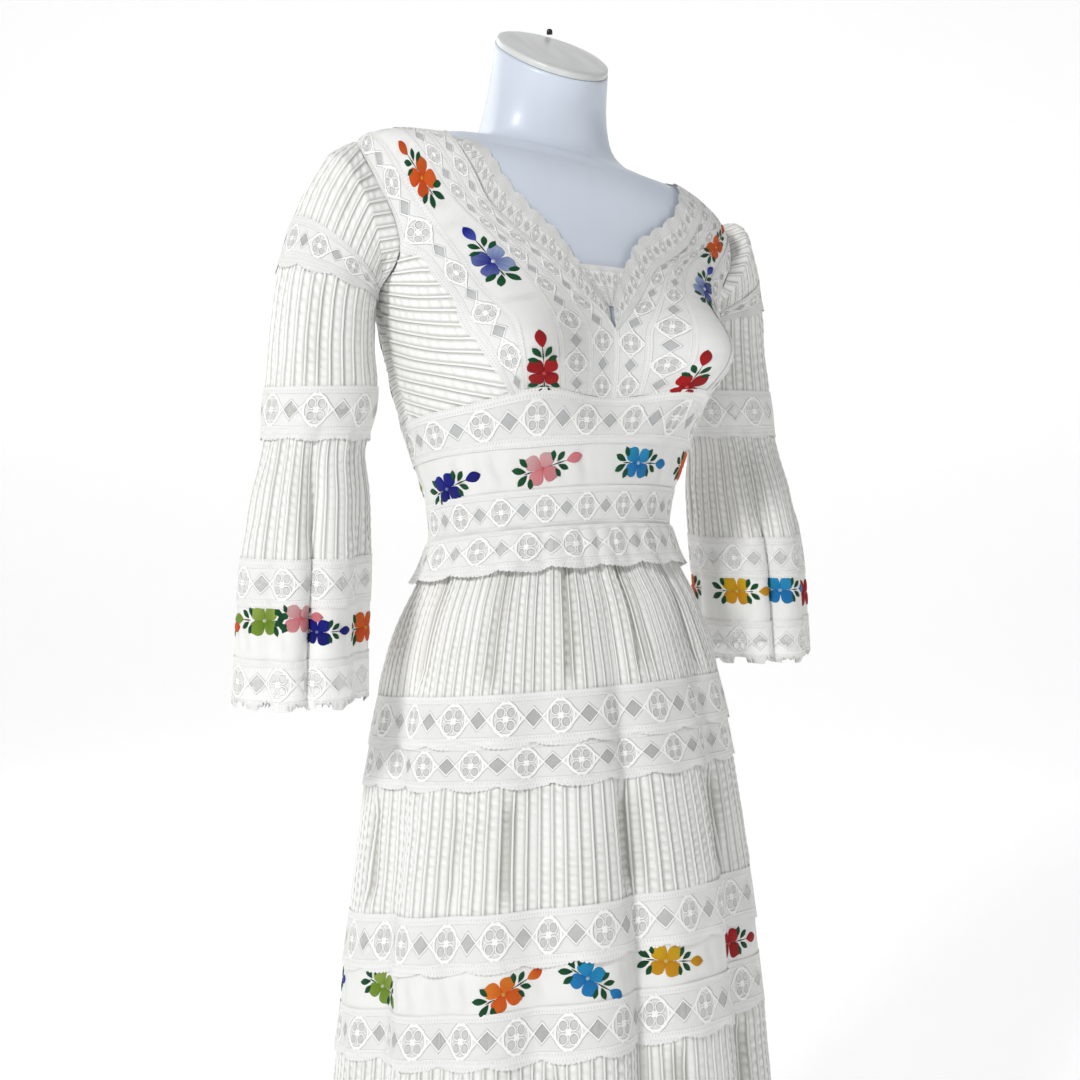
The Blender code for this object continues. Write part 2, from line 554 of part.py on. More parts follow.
def build_bodice():
    """Neck lace, strap rows and tucked panels, right and left, with the back panel."""
    for side, tag in ((1, "left"), (-1, "right")):
        neck = over_shoulder("neck", "edging", (15, 9, 2), NECK_INSET)
        on_body(f"neck_lace_{tag}", neck, side, LACE, LACE_WALL)
        on_body(f"lace_inner_{tag}", over_shoulder("inner", "strap_in", (*STRAP_ROWS.values(), 4)), side, LACE, LACE_WALL)
        on_body(f"strap_band_{tag}", over_shoulder("strap_in", "strap_out", (*STRAP_ROWS.values(), 4)), side)
        for front, part in ((True, "front"), (False, "back")):
            lines = FRONT_LINES if front else BACK_LINES
            pair = [spaced(seam_line(lines[key], front, True), STRAP_ROWS[part]) for key in ("strap_out", "rim")]
            lace = between(*pair, 3, SEAM_GAP / 2)
            lace[0, :, 0] += SEAM_GAP / MEAN_RADIUS * (-1 if front else 1)
            lace[-1, :, 1] = seam_level(lace[-1, :, 0], MIDRIFF_TOP, True) - SEAM_GAP
            on_body(f"lace_outer_{part}_{tag}", lace, side, LACE, LACE_WALL)
            on_body(f"side_{part}_{tag}", side_panel(front, 7, 4), side)
    on_body("centre_back", back_panel(11, 8), 1)
    on_body("modesty_lace", modesty_panel(3, 7), 1, LACE, LACE_WALL)


def round_body(name, high, low, rows, look=COTTON, wall=WALL, arched=False):
    """Band of the bodice between two seams, right round the body."""
    theta = np.arange(BODY_SIDES) * 2 * math.pi / BODY_SIDES
    top = seam_level(theta, high, arched) + SEAM_GAP / 2
    bottom = seam_level(theta, low) - SEAM_GAP / 2
    share = np.linspace(0, 1, rows)[:, None]
    level = top * (1 - share) + bottom * share
    return cloth(name, bodice_surface(np.broadcast_to(theta, level.shape), level), True, look, wall)


def round_skirt(name, high, low, shares, sides=SKIRT_SIDES, lift=(0.0, 0.0), look=COTTON, wall=WALL):
    """Band of the skirt between two seams, with rows at these shares of its depth.

    lift holds it out at its top and at its lower edge.
    """
    ripple = 1.0 if sides == GATHER_SIDES else 0.0
    theta = np.arange(sides)[None, :] * 2 * math.pi / sides
    share = np.array(shares)[:, None]
    drop = WAIST_SEAM - (high + (low - high) * share)
    held = lift[0] + (lift[1] - lift[0]) * share
    return cloth(name, skirt_surface(theta, drop, held, ripple), True, look, wall)


def build_waist():
    """The bands between the bodice and the skirt, and the flounce over the gathers."""
    round_body("midriff_lace", MIDRIFF_TOP, BAND_TOP, 3, LACE, LACE_WALL, arched=True)
    round_body("waist_band", BAND_TOP, BAND_LOW, 2)
    round_body("waist_lace", BAND_LOW, WAIST_SEAM, 2, LACE, LACE_WALL)
    over = WALL + GATHERS["height"] + LAP_GAP
    round_skirt("waist_flounce", WAIST_SEAM - SEAM_GAP * 2, FLOUNCE_LOW, (0, 1), lift=(over, over + LAP_GAP),
                look=LACE, wall=LACE_WALL)


def build_skirt():
    """Tucked tiers, lace rows and the embroidered band."""
    seams = TIER_SEAMS
    gap = SEAM_GAP
    over = WALL + LAP
    round_skirt("skirt_tier_1", WAIST_SEAM - gap * 2, seams["tier_1"] + gap, (0, 0.21, 0.48, 1), GATHER_SIDES)
    round_skirt("skirt_lace_a", seams["tier_1"], seams["lace_a"] + gap, (0, 1), look=LACE, wall=LACE_WALL)
    round_skirt("skirt_lace_b", seams["lace_a"], seams["lace_b"], (0, 1), lift=(0.0, over), look=LACE,
                wall=LACE_WALL)
    round_skirt("skirt_tier_2", seams["lace_a"] - gap * 2, seams["tier_2"] + gap, (0, 0.5, 1),
                lift=(-WALL - LAP_GAP * 2, 0.0))
    round_skirt("skirt_lace_c", seams["tier_2"], seams["lace_c"] + gap, (0, 1), look=LACE, wall=LACE_WALL)
    round_skirt("skirt_band", seams["lace_c"], seams["band"] + gap, (0, 1))
    round_skirt("skirt_lace_d", seams["band"], seams["lace_d"] + gap, (0, 1), look=LACE, wall=LACE_WALL)
    round_skirt("skirt_tier_3", seams["lace_d"], seams["tier_3"] + gap, (0, 0.45, 1))
    round_skirt("hem_lace", seams["tier_3"], seams["hem"], (0, 1), look=LACE, wall=LACE_WALL)


def build_sleeves():
    """Eight pieces for each sleeve, from the armhole down to the scalloped cuff lace."""
    rows = {"cap": 5, "upper_lace": 2, "middle": 3, "elbow_lace": 2, "bell": 3, "bell_lace": 2,
            "bell_band": 2, "cuff_lace": 2}
    for side, tag in ((1, "left"), (-1, "right")):
        surface = sleeve_surface(side)
        high = SLEEVE_TOP
        for part, low in SLEEVE_SEAMS.items():
            sides = BELL_SIDES if part == "bell" else SLEEVE_SIDES
            phi = np.arange(sides)[None, :] * 2 * math.pi / sides
            gap = SEAM_GAP * {"cap": 4, "upper_lace": 2}.get(part, 1)
            drop = SLEEVE_TOP - np.linspace(high, low + gap, rows[part])[:, None]
            phi, drop = np.broadcast_arrays(phi * -side, drop)
            lace = "lace" in part
            cloth(f"sleeve_{part}_{tag}", surface(phi, drop), True, LACE if lace else COTTON,
                  LACE_WALL if lace else WALL)
            high = low


def main():
    """Build the form and the dress."""
    clear_scene()
    dress = bpy.data.collections.new("mexican_wedding_dress")
    bpy.context.scene.collection.children.link(dress)
    build_form()
    build_bodice()
    build_waist()
    build_sleeves()
    build_skirt()


if __name__ == "__main__":
    main()
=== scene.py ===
"""Looks of a Mexican wedding dress on its dress form.

Units are metres. +Z is up and the front of the dress faces -Y. Every cloth piece is a strip: points worked
out from two shares, one along it and one across it, and lifted along the normal by tucks, puckers and gathers.
"""

import json
import logging
import math
from dataclasses import dataclass, field
from enum import Enum
from typing import Callable

import bpy
import numpy as np
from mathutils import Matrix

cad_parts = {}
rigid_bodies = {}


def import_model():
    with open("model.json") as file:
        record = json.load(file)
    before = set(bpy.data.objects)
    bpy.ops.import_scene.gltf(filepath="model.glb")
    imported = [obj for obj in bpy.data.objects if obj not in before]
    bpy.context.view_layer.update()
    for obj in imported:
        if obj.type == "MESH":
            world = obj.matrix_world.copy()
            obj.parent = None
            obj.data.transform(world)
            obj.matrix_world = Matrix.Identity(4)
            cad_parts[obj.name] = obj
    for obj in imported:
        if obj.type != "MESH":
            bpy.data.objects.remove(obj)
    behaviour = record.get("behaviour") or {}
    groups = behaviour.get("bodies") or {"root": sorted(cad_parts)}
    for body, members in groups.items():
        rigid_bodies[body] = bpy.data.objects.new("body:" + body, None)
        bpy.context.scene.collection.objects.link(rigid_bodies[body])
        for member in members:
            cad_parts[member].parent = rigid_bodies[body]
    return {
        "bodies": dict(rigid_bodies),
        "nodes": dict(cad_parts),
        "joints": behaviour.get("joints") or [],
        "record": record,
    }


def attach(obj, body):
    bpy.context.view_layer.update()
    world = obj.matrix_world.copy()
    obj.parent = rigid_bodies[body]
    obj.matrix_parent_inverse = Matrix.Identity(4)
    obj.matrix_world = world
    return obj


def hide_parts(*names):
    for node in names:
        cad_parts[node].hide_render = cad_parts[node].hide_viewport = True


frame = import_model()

LOG = logging.getLogger("dress")
Array = np.ndarray
Colour = tuple[float, float, float]
Surface = Callable[[Array, Array], Array]

# Walls and clearances of the cut
WALL = 0.0016
LAP_GAP = 0.0005
SEAT_GAP = 0.0021
EASE = 0.0044
SEAM_GAP = 0.0008
MEAN_RADIUS = 0.13

# Dress form rings: level, z, half width, front, back, rise, lean, squareness
FORM_TOP = 1.493
FORM = np.array((
    (-0.140, 1.496, 0.055, 0.063, 0.053, 0.56, 0.000, 2.0),
    (-0.100, 1.468, 0.057, 0.055, 0.063, 0.40, 0.000, 2.0),
    (-0.070, 1.448, 0.059, 0.048, 0.073, 0.28, 0.000, 2.0),
    (-0.045, 1.430, 0.062, 0.044, 0.082, 0.18, -0.04, 2.0),
    (-0.020, 1.412, 0.068, 0.044, 0.090, 0.12, -0.07, 2.0),
    (0.005, 1.402, 0.082, 0.048, 0.092, 0.09, -0.11, 2.0),
    (0.040, 1.396, 0.115, 0.056, 0.092, 0.06, -0.143, 2.1),
    (0.075, 1.387, 0.153, 0.062, 0.094, 0.03, -0.11, 2.2),
    (0.105, 1.378, 0.182, 0.069, 0.097, 0.00, -0.143, 2.3),
    (0.130, 1.3645, 0.199, 0.075, 0.099, 0.00, -0.155, 2.4),
    (0.170, 1.322, 0.204, 0.082, 0.101, 0.00, -0.10, 2.4),
    (0.215, 1.278, 0.187, 0.095, 0.102, 0.00, -0.04, 2.4),
    (0.265, 1.228, 0.174, 0.111, 0.100, 0.00, -0.02, 2.4),
    (0.315, 1.178, 0.163, 0.112, 0.097, 0.00, 0.000, 2.3),
    (0.355, 1.138, 0.152, 0.106, 0.093, 0.00, 0.000, 2.3),
    (0.400, 1.093, 0.138, 0.098, 0.088, 0.00, 0.000, 2.2),
    (0.435, 1.058, 0.127, 0.092, 0.085, 0.00, 0.000, 2.1),
    (0.465, 1.028, 0.122, 0.090, 0.084, 0.00, 0.000, 2.1),
    (0.505, 0.988, 0.127, 0.091, 0.087, 0.00, 0.000, 2.1),
    (0.555, 0.938, 0.138, 0.093, 0.094, 0.00, 0.000, 2.1),
    (0.625, 0.868, 0.152, 0.096, 0.106, 0.00, 0.000, 2.2),
    (0.690, 0.803, 0.156, 0.094, 0.110, 0.00, 0.000, 2.2),
    (0.750, 0.743, 0.148, 0.088, 0.102, 0.00, 0.000, 2.2),
))
CUP = {"across": 0.085, "z": 1.202, "spread": 0.045, "height": 0.047, "sideways": 0.5, "forwards": 0.87,
       "slack": 0.003, "ramp": 1.6}

# Seams round the body, each its height at the side
TILT = 0.20
MIDRIFF_TOP = 1.135
BAND_TOP = 1.099
BAND_LOW = 1.0555
WAIST_SEAM = 1.018
FLOUNCE_LOW = 0.982
ARCH = {"across": 0.075, "spread": 0.04, "height": 0.013}

# Skirt plan: z, half width, front, back, share of the folds, tilt
SKIRT = np.array((
    (0.100, 0.262, 0.256, 0.260, 1.45, 0.08),
    (0.300, 0.240, 0.234, 0.238, 1.25, 0.15),
    (0.536, 0.216, 0.208, 0.212, 1.00, 0.22),
    (0.590, 0.211, 0.202, 0.206, 0.90, 0.23),
    (0.657, 0.204, 0.194, 0.198, 0.80, 0.21),
    (0.772, 0.189, 0.174, 0.178, 0.55, 0.14),
    (0.857, 0.177, 0.156, 0.160, 0.35, 0.13),
    (0.900, 0.168, 0.143, 0.150, 0.25, 0.13),
    (0.945, 0.154, 0.125, 0.130, 0.15, 0.15),
    (0.985, 0.136, 0.103, 0.100, 0.05, 0.17),
    (1.018, 0.1265, 0.0945, 0.0885, 0.00, 0.20),
))
SKIRT_SQUARENESS = 2.1
# Folds: azimuth from the front, half angle, depth, and how far the lip leans over the fold
FOLDS = np.array((
    (-84.0, 8.0, 0.021, 0.004),
    (-58.5, 6.0, 0.009, 0.000),
    (-35.0, 8.5, 0.018, 0.004),
    (-6.0, 7.0, 0.026, 0.010),
    (34.6, 8.5, 0.022, 0.004),
    (71.0, 7.5, 0.017, 0.003),
    (111.0, 9.0, 0.023, 0.004),
    (146.0, 7.5, 0.016, 0.003),
    (186.0, 8.5, 0.024, 0.004),
    (231.0, 8.5, 0.022, 0.004),
))
GATHERS = {"count": 36, "height": 0.0026, "fall": 0.070, "start": 0.006, "uneven": 0.2}
TIER_SEAMS = {
    "tier_1": 0.868, "lace_a": 0.824, "lace_b": 0.785, "tier_2": 0.658, "lace_c": 0.607,
    "band": 0.565, "lace_d": 0.520, "tier_3": 0.140, "hem": 0.100,
}

# Sleeve rings: s, turn, along, behind, up, across, depth
SLEEVE = np.array((
    (0.878, 0.0, 0.2700, 0.010, 0.8780, 0.0625, 0.065),
    (0.950, 0.0, 0.2660, 0.011, 0.9500, 0.0625, 0.065),
    (1.000, 0.0, 0.2615, 0.014, 1.0000, 0.0620, 0.064),
    (1.060, 0.0, 0.2540, 0.019, 1.0600, 0.0570, 0.058),
    (1.124, 0.0, 0.2445, 0.024, 1.1240, 0.0480, 0.048),
    (1.145, 0.0, 0.2390, 0.026, 1.1450, 0.0510, 0.052),
    (1.215, 0.0, 0.2338, 0.030, 1.2150, 0.0480, 0.052),
    (1.243, 8.1, 0.2313, 0.028, 1.2430, 0.0462, 0.051),
    (1.270, 26.0, 0.2270, 0.024, 1.2660, 0.0456, 0.051),
    (1.298, 49.6, 0.2208, 0.016, 1.2890, 0.0505, 0.052),
    (1.316, 69.0, 0.2122, 0.008, 1.3086, 0.0594, 0.050),
))
SLEEVE_LEAN = {"low": 1.20, "high": 1.33, "share": -0.07}
SLEEVE_TOP = 1.334
SLEEVE_SEAMS = {
    "cap": 1.284, "upper_lace": 1.262, "middle": 1.166, "elbow_lace": 1.124, "bell": 1.009,
    "bell_lace": 0.9695, "bell_band": 0.919, "cuff_lace": 0.878,
}
SLEEVE_FOLDS = np.array((
    (-50.0, 9.0, 0.006, 0.0),
    (-18.0, 10.0, 0.018, 0.007),
    (40.0, 14.0, 0.010, 0.0),
    (104.0, 15.0, 0.009, 0.0),
    (176.0, 14.0, 0.010, 0.0),
    (248.0, 15.0, 0.009, 0.0),
))
BELL_GATHERS = {"count": 14, "height": 0.0016, "fall": 0.045, "start": 0.006, "uneven": 0.2}
BELL_FOLD_RISE = {"above": 0.02, "over": 0.14}
# Armhole seam: phi round it from its top, angle from the side, level
ARMHOLE = np.array((
    (-180.0, 4.0, 0.2395),
    (-140.0, 9.0, 0.2265),
    (-90.0, 14.0, 0.186),
    (-45.0, 13.0, 0.146),
    (0.0, 8.0, 0.129),
    (30.0, 0.5, 0.1365),
    (60.0, -7.0, 0.157),
    (90.0, -11.4, 0.182),
    (115.0, -12.2, 0.203),
    (140.0, -9.0, 0.221),
    (160.0, -3.5, 0.2315),
    (180.0, 4.0, 0.2395),
))
PANEL_START = {"front": 115.0, "back": -112.0}

# Bodice seam lines: level, and share of the half width
FRONT_LINES = {
    "neck": ((0.042, 1.0), (0.090, 0.74), (0.127, 0.563), (0.152, 0.465), (0.169, 0.355),
             (0.188, 0.232), (0.214, 0.146), (0.253, 0.004)),
    "edging": ((0.060, 1.0), (0.105, 0.80), (0.143, 0.63), (0.170, 0.535), (0.190, 0.43),
               (0.2075, 0.31), (0.2335, 0.20), (0.2715, 0.004)),
    "inner": ((0.060, 1.0), (0.105, 0.80), (0.143, 0.63), (0.170, 0.535), (0.190, 0.43),
              (0.208, 0.31), (0.235, 0.20), (0.275, 0.004), (0.310, 0.004), (0.345, 0.004)),
    "strap_in": ((0.092, 1.0), (0.115, 0.94), (0.138, 0.84), (0.169, 0.70), (0.198, 0.56),
                 (0.218, 0.496), (0.250, 0.405), (0.278, 0.365), (0.310, 0.352), (0.345, 0.344)),
    "strap_out": ((0.120, 1.0), (0.136, 0.962), (0.154, 0.90), (0.178, 0.827), (0.199, 0.774),
                  (0.219, 0.73), (0.240, 0.688), (0.258, 0.614), (0.272, 0.56), (0.293, 0.537),
                  (0.345, 0.535)),
    "rim": ((0.139, 1.0), (0.158, 0.972), (0.176, 0.945), (0.192, 0.935), (0.203, 0.94), (0.212, 0.885),
            (0.230, 0.844), (0.250, 0.80), (0.273, 0.765), (0.295, 0.68), (0.320, 0.62), (0.345, 0.60)),
    "outer": ((0.203, 0.94), (0.212, 0.885), (0.230, 0.844), (0.250, 0.80), (0.273, 0.765),
              (0.295, 0.68), (0.320, 0.62), (0.345, 0.60)),
}
BACK_LINES = {
    "neck": ((0.042, 1.0), (0.050, 0.80), (0.058, 0.50), (0.064, 0.20), (0.066, 0.004)),
    "edging": ((0.060, 1.0), (0.068, 0.80), (0.076, 0.50), (0.083, 0.20), (0.086, 0.004)),
    "inner": ((0.060, 1.0), (0.068, 0.80), (0.077, 0.60), (0.095, 0.52), (0.140, 0.45), (0.200, 0.40),
              (0.300, 0.30), (0.370, 0.25)),
    "panel": ((0.080, 0.575), (0.095, 0.52), (0.140, 0.45), (0.200, 0.40), (0.300, 0.30), (0.370, 0.25)),
    "strap_in": ((0.092, 1.0), (0.104, 0.93), (0.141, 0.80), (0.200, 0.68), (0.300, 0.54), (0.370, 0.49)),
    "strap_out": ((0.120, 1.0), (0.115, 0.97), (0.120, 0.93), (0.130, 0.88), (0.150, 0.85), (0.180, 0.84),
                  (0.228, 0.80), (0.300, 0.76), (0.370, 0.72)),
    "rim": ((0.139, 1.0), (0.130, 0.98), (0.146, 0.94), (0.186, 0.932), (0.206, 0.955), (0.235, 0.955),
            (0.300, 0.915), (0.370, 0.90)),
    "outer": ((0.206, 0.955), (0.235, 0.955), (0.300, 0.915), (0.370, 0.90)),
}
MODESTY_TOP = 0.212
MODESTY_LOW = 0.238
MODESTY_REACH = 0.0012

# The cloth's shape, as points of two numbers


def through(knots: Array, values: Array, at: Array) -> Array:
    """Smooth curve through values at knots: cubic Hermite spans whose slopes are the central differences.

    Args:
        knots: Rising places of the values.
        values: One value for each knot.
        at: Places to read, held inside the knots.

    Returns:
        The curve's value at each place.
    """
    slope = np.gradient(values, knots)
    at = np.clip(at, knots[0], knots[-1])
    i = np.clip(np.searchsorted(knots, at, side="right") - 1, 0, len(knots) - 2)
    step = knots[i + 1] - knots[i]
    u = (at - knots[i]) / step
    rising = u * (1 - u) ** 2 * slope[i] + u * u * (u - 1) * slope[i + 1]
    return (1 + 2 * u) * (1 - u) ** 2 * values[i] + u * u * (3 - 2 * u) * values[i + 1] + step * rising


def row_at(table: Array, at: Array) -> list[Array]:
    """Every column of a table after its first, read at these places of the first."""
    return [through(table[:, 0], table[:, k], at) for k in range(1, table.shape[1])]


def polar_radius(theta: Array, half_width: Array, front: Array, back: Array, squareness: Array) -> Array:
    """Radius of a superellipse ring: (|cos/w|^n + |sin/d|^n)^(-1/n), d being front or back by the sine's sign."""
    depth = np.where(np.sin(theta) < 0, front, back)
    across = np.abs(np.cos(theta) / half_width) ** squareness
    return (across + np.abs(np.sin(theta) / depth) ** squareness) ** (-1 / squareness)


def form_surface(theta: Array, level: Array, slack: float = 0.0) -> Array:
    """Point of the dress form: a ring of the table, tipped by rise and lean, with a bell-shaped swell for each cup.

    Args:
        theta: Angle from +X, anticlockwise from above.
        level: Distance down the body from the neck's foot.
        slack: How much lower than the cloth the cups stand.

    Returns:
        Points, with x, y and z last.
    """
    z, wide, front, back, rise, lean, square = row_at(FORM, level)
    radius = polar_radius(theta, wide, front, back, square)
    x, y = radius * np.cos(theta), radius * np.sin(theta)
    z = z + rise * y + lean * x
    swell = (CUP["height"] - slack) * np.exp(
        -((np.abs(x) - CUP["across"]) / CUP["spread"]) ** 2 - ((z - CUP["z"]) / CUP["spread"]) ** 2)
    swell = swell * np.clip(-y / front * CUP["ramp"], 0, 1)
    return np.stack([x + np.sign(x) * swell * CUP["sideways"], y - swell * CUP["forwards"], z], -1)


def outward(surface: Surface, u: Array, v: Array, step: float = 2e-4) -> Array:
    """Unit normal of a surface whose v runs down: the v difference crossed with the u difference."""
    across = surface(u + step, v) - surface(u - step, v)
    down = surface(u, v + step) - surface(u, v - step)
    normal = np.cross(down, across)
    return normal / (np.linalg.norm(normal, axis=-1, keepdims=True) + 1e-12)


def ease_at(level: Array) -> Array:
    """Gap from the form to the bodice: seated at the shoulders, eased below them."""
    return SEAT_GAP + (EASE - SEAT_GAP) * np.clip((level - 0.09) / 0.12, 0, 1)


def bodice_surface(theta: Array, level: Array) -> Array:
    """Inner face of the bodice: the form's point moved out by the ease."""
    return form_surface(theta, level) + outward(form_surface, theta, level) * ease_at(level)[..., None]


def folded(theta: Array, folds: Array, share: Array) -> Array:
    """Inward shift of the folds: the sum of depth * exp(-(angle apart / half angle)^2), times share."""
    azimuth = np.degrees(theta)[..., None] + 90.0
    apart = (azimuth - folds[:, 0] + 180.0) % 360.0 - 180.0
    return (folds[:, 2] * np.exp(-(apart / folds[:, 1]) ** 2)).sum(-1) * share


def gathered(theta: Array, gathers: dict[str, float], below: Array) -> Array:
    """Outward ripple height * cos(count * theta), rising at its seam and dying away below it."""
    fade = np.exp(-np.maximum(below, 0) / gathers["fall"]) * np.clip(below / gathers["start"], 0, 1)
    uneven = 1 - gathers["uneven"] * (1 - np.sin(3 * theta + 1.0))
    return gathers["height"] * fade * uneven * np.cos(gathers["count"] * theta)


def skirt_surface(theta: Array, drop: Array, ripple: float = 1.0) -> Array:
    """Inner face of the skirt: superellipse plan less the folds, with each fold's lip leaned over sideways.

    Args:
        theta: Angle from +X.
        drop: Distance down from the waist seam.
        ripple: Share of the waist gathers.

    Returns:
        Points, with x, y and z last.
    """
    z = WAIST_SEAM - drop
    wide, front, back, share, tilt = row_at(SKIRT, z)
    radius = polar_radius(theta, wide, front, back, SKIRT_SQUARENESS)
    radius = radius - folded(theta, FOLDS, share) + ripple * gathered(theta, GATHERS, drop)
    azimuth = np.degrees(theta)[..., None] + 90.0
    apart = ((azimuth - FOLDS[:, 0] + 180.0) % 360.0 - 180.0) / FOLDS[:, 1]
    lip = (FOLDS[:, 3] * np.exp(-(apart + 1.0) ** 2)).sum(-1) * share / radius
    x, y = radius * np.cos(theta + lip), radius * np.sin(theta + lip)
    return np.stack([x, y, z - tilt * y], -1)


def armhole(phi: Array) -> tuple[Array, Array]:
    """Angle and level of the armhole seam, which phi goes round from its top."""
    angle, level = row_at(ARMHOLE, (np.degrees(phi) + 180.0) % 360.0 - 180.0)
    return np.radians(angle), level


def sleeve_surface(side: int) -> Surface:
    """Inner face of one sleeve.

    Args:
        side: 1 for the wearer's left and -1 for the right.

    Returns:
        Function of the angle phi and the drop below the sleeve's top: rings tipped by turn, less the folds,
        which blend into the armhole seam at the top.
    """

    def surface(phi: Array, drop: Array) -> Array:
        s = SLEEVE_TOP - drop
        turn, along, behind, up, across, depth = row_at(SLEEVE, s)
        turn = np.radians(turn)
        out = np.stack([np.cos(phi), -np.sin(phi)], -1)
        world = np.arctan2(out[..., 1], out[..., 0] * side)
        below = SLEEVE_SEAMS["elbow_lace"] - s
        share = np.clip((below + BELL_FOLD_RISE["above"]) / BELL_FOLD_RISE["over"], 0, 1)
        shift = gathered(phi, BELL_GATHERS, below) - folded(world, SLEEVE_FOLDS, share)
        reach = across + shift
        apart = (np.degrees(world)[..., None] + 270.0 - SLEEVE_FOLDS[:, 0]) % 360.0 - 180.0
        apart = apart / SLEEVE_FOLDS[:, 1]
        lip = (SLEEVE_FOLDS[:, 3] * np.exp(-(apart + 1.0) ** 2)).sum(-1) * share
        x = along + reach * out[..., 0] * np.cos(turn) - side * np.sin(world) * lip
        z = up + reach * out[..., 0] * np.sin(turn)
        rise = np.clip((z - SLEEVE_LEAN["low"]) / (SLEEVE_LEAN["high"] - SLEEVE_LEAN["low"]), 0, 1)
        z = z + SLEEVE_LEAN["share"] * rise * side * x
        ring = np.stack([side * x, behind + (depth + shift) * out[..., 1] + np.cos(world) * lip, z], -1)
        angle, level = armhole(phi)
        theta = angle if side > 0 else math.pi - angle
        seat = ease_at(level) + WALL + LAP_GAP * 2
        seam = form_surface(theta, level) + outward(form_surface, theta, level) * seat[..., None]
        blend = np.clip((s - SLEEVE[-1, 0]) / (SLEEVE_TOP - SLEEVE[-1, 0]), 0, 1)[..., None]
        return ring * (1 - blend) + seam * blend

    return surface


def seam_level(theta: Array, height: float, arched: bool = False) -> Array:
    """Level where a tilted seam crosses theta: its side height, plus tilt * y, less two arches under the bust."""
    level = np.full(np.shape(theta), FORM_TOP - height)
    point = form_surface(theta, level)
    lift = np.zeros(np.shape(theta))
    if arched:
        lift = ARCH["height"] * np.exp(-((np.abs(point[..., 0]) - ARCH["across"]) / ARCH["spread"]) ** 2)
        lift = lift * (point[..., 1] < 0)
    return level + TILT * point[..., 1] - lift


def seam_line(knots: tuple, front: bool, to_midriff: bool) -> Array:
    """Line of (angle, level) on the left half.

    Args:
        knots: Level and share of the half width, from the shoulder down.
        front: True on the front half.
        to_midriff: True where the line ends on the midriff seam.

    Returns:
        Array of angle and level, the angle found on the form's superellipse.
    """
    level, out = np.array(knots, float).T
    wide, depth, square = (through(FORM[:, 0], FORM[:, k], level) for k in (2, 3 if front else 4, 7))
    y = depth * (1 - np.minimum(out, 1.0) ** square) ** (1 / square)
    angle = np.arctan2(y, out * wide) * (-1 if front else 1)
    if to_midriff:
        level[-1] = seam_level(angle[-1:], MIDRIFF_TOP, True)[0] - SEAM_GAP
    return np.stack([angle, level], -1)


def along_line(line: Array) -> Array:
    """Distance run along a line of (angle, level), angles counted at the mean radius."""
    return np.concatenate([[0], np.cumsum(np.hypot(*(np.diff(line, axis=0) * (MEAN_RADIUS, 1.0)).T))])


def spaced(line: Array, count: int) -> Array:
    """The line through its knots, smoothed and resampled to count even points."""
    knots = along_line(line)
    fine = np.linspace(0, knots[-1], 300)
    dense = np.stack([through(knots, line[:, k], fine) for k in (0, 1)], -1)
    widest = np.abs(line[:, 0]).max()
    dense[:, 0] = np.clip(dense[:, 0], -widest, widest)
    length = along_line(dense)
    at = np.linspace(0, length[-1], count)
    return np.stack([np.interp(at, length, dense[:, k]) for k in (0, 1)], -1)


def wander(x: Array, seed: float = 0.0) -> Array:
    """Slow uneven wave from -1 to 1: three sines whose periods share no common multiple."""
    return (np.sin(x * 1.0 + seed * 1.7) + np.sin(x * 2.17 + seed * 2.9 + 1.1) * 0.7
            + np.sin(x * 4.63 + seed * 4.1 + 2.3) * 0.4) / 2.1


def scatter(index: Array, seed: float = 0.0) -> Array:
    """A fixed number from 0 to 1 for each whole number: the fraction of a large sine."""
    return np.modf(np.abs(np.sin(index * 12.9898 + seed * 78.233) * 43758.5453))[0]


@dataclass(frozen=True)
class Strip:
    """A strip of cloth as points of two shares: along it, and across or down it.

    Attributes:
        place: Point on its inner face.
        length: Metres along it.
        width: Metres across it.
        closed: True where it goes right round.
        facing: 1 where across x along points outwards, and -1 where it points in.
    """

    place: Surface
    length: float
    width: float
    closed: bool = False
    facing: float = 1.0

    def normal(self, along: Array, across: Array) -> Array:
        """Unit normal: the across difference crossed with the along difference, over 0.8 mm."""
        a, b = 0.0004 / self.length, 0.0004 / self.width
        step = self.place(along + a, across) - self.place(along - a, across)
        down = self.place(along, across + b) - self.place(along, across - b)
        normal = np.cross(down, step) * self.facing
        return normal / (np.linalg.norm(normal, axis=-1, keepdims=True) + 1e-12)

    def lifted(self, along: Array, across: Array, lift: Array | float) -> Array:
        """Point of the inner face, moved out along the normal by lift metres."""
        return self.place(along, across) + self.normal(along, across) * np.asarray(lift)[..., None]


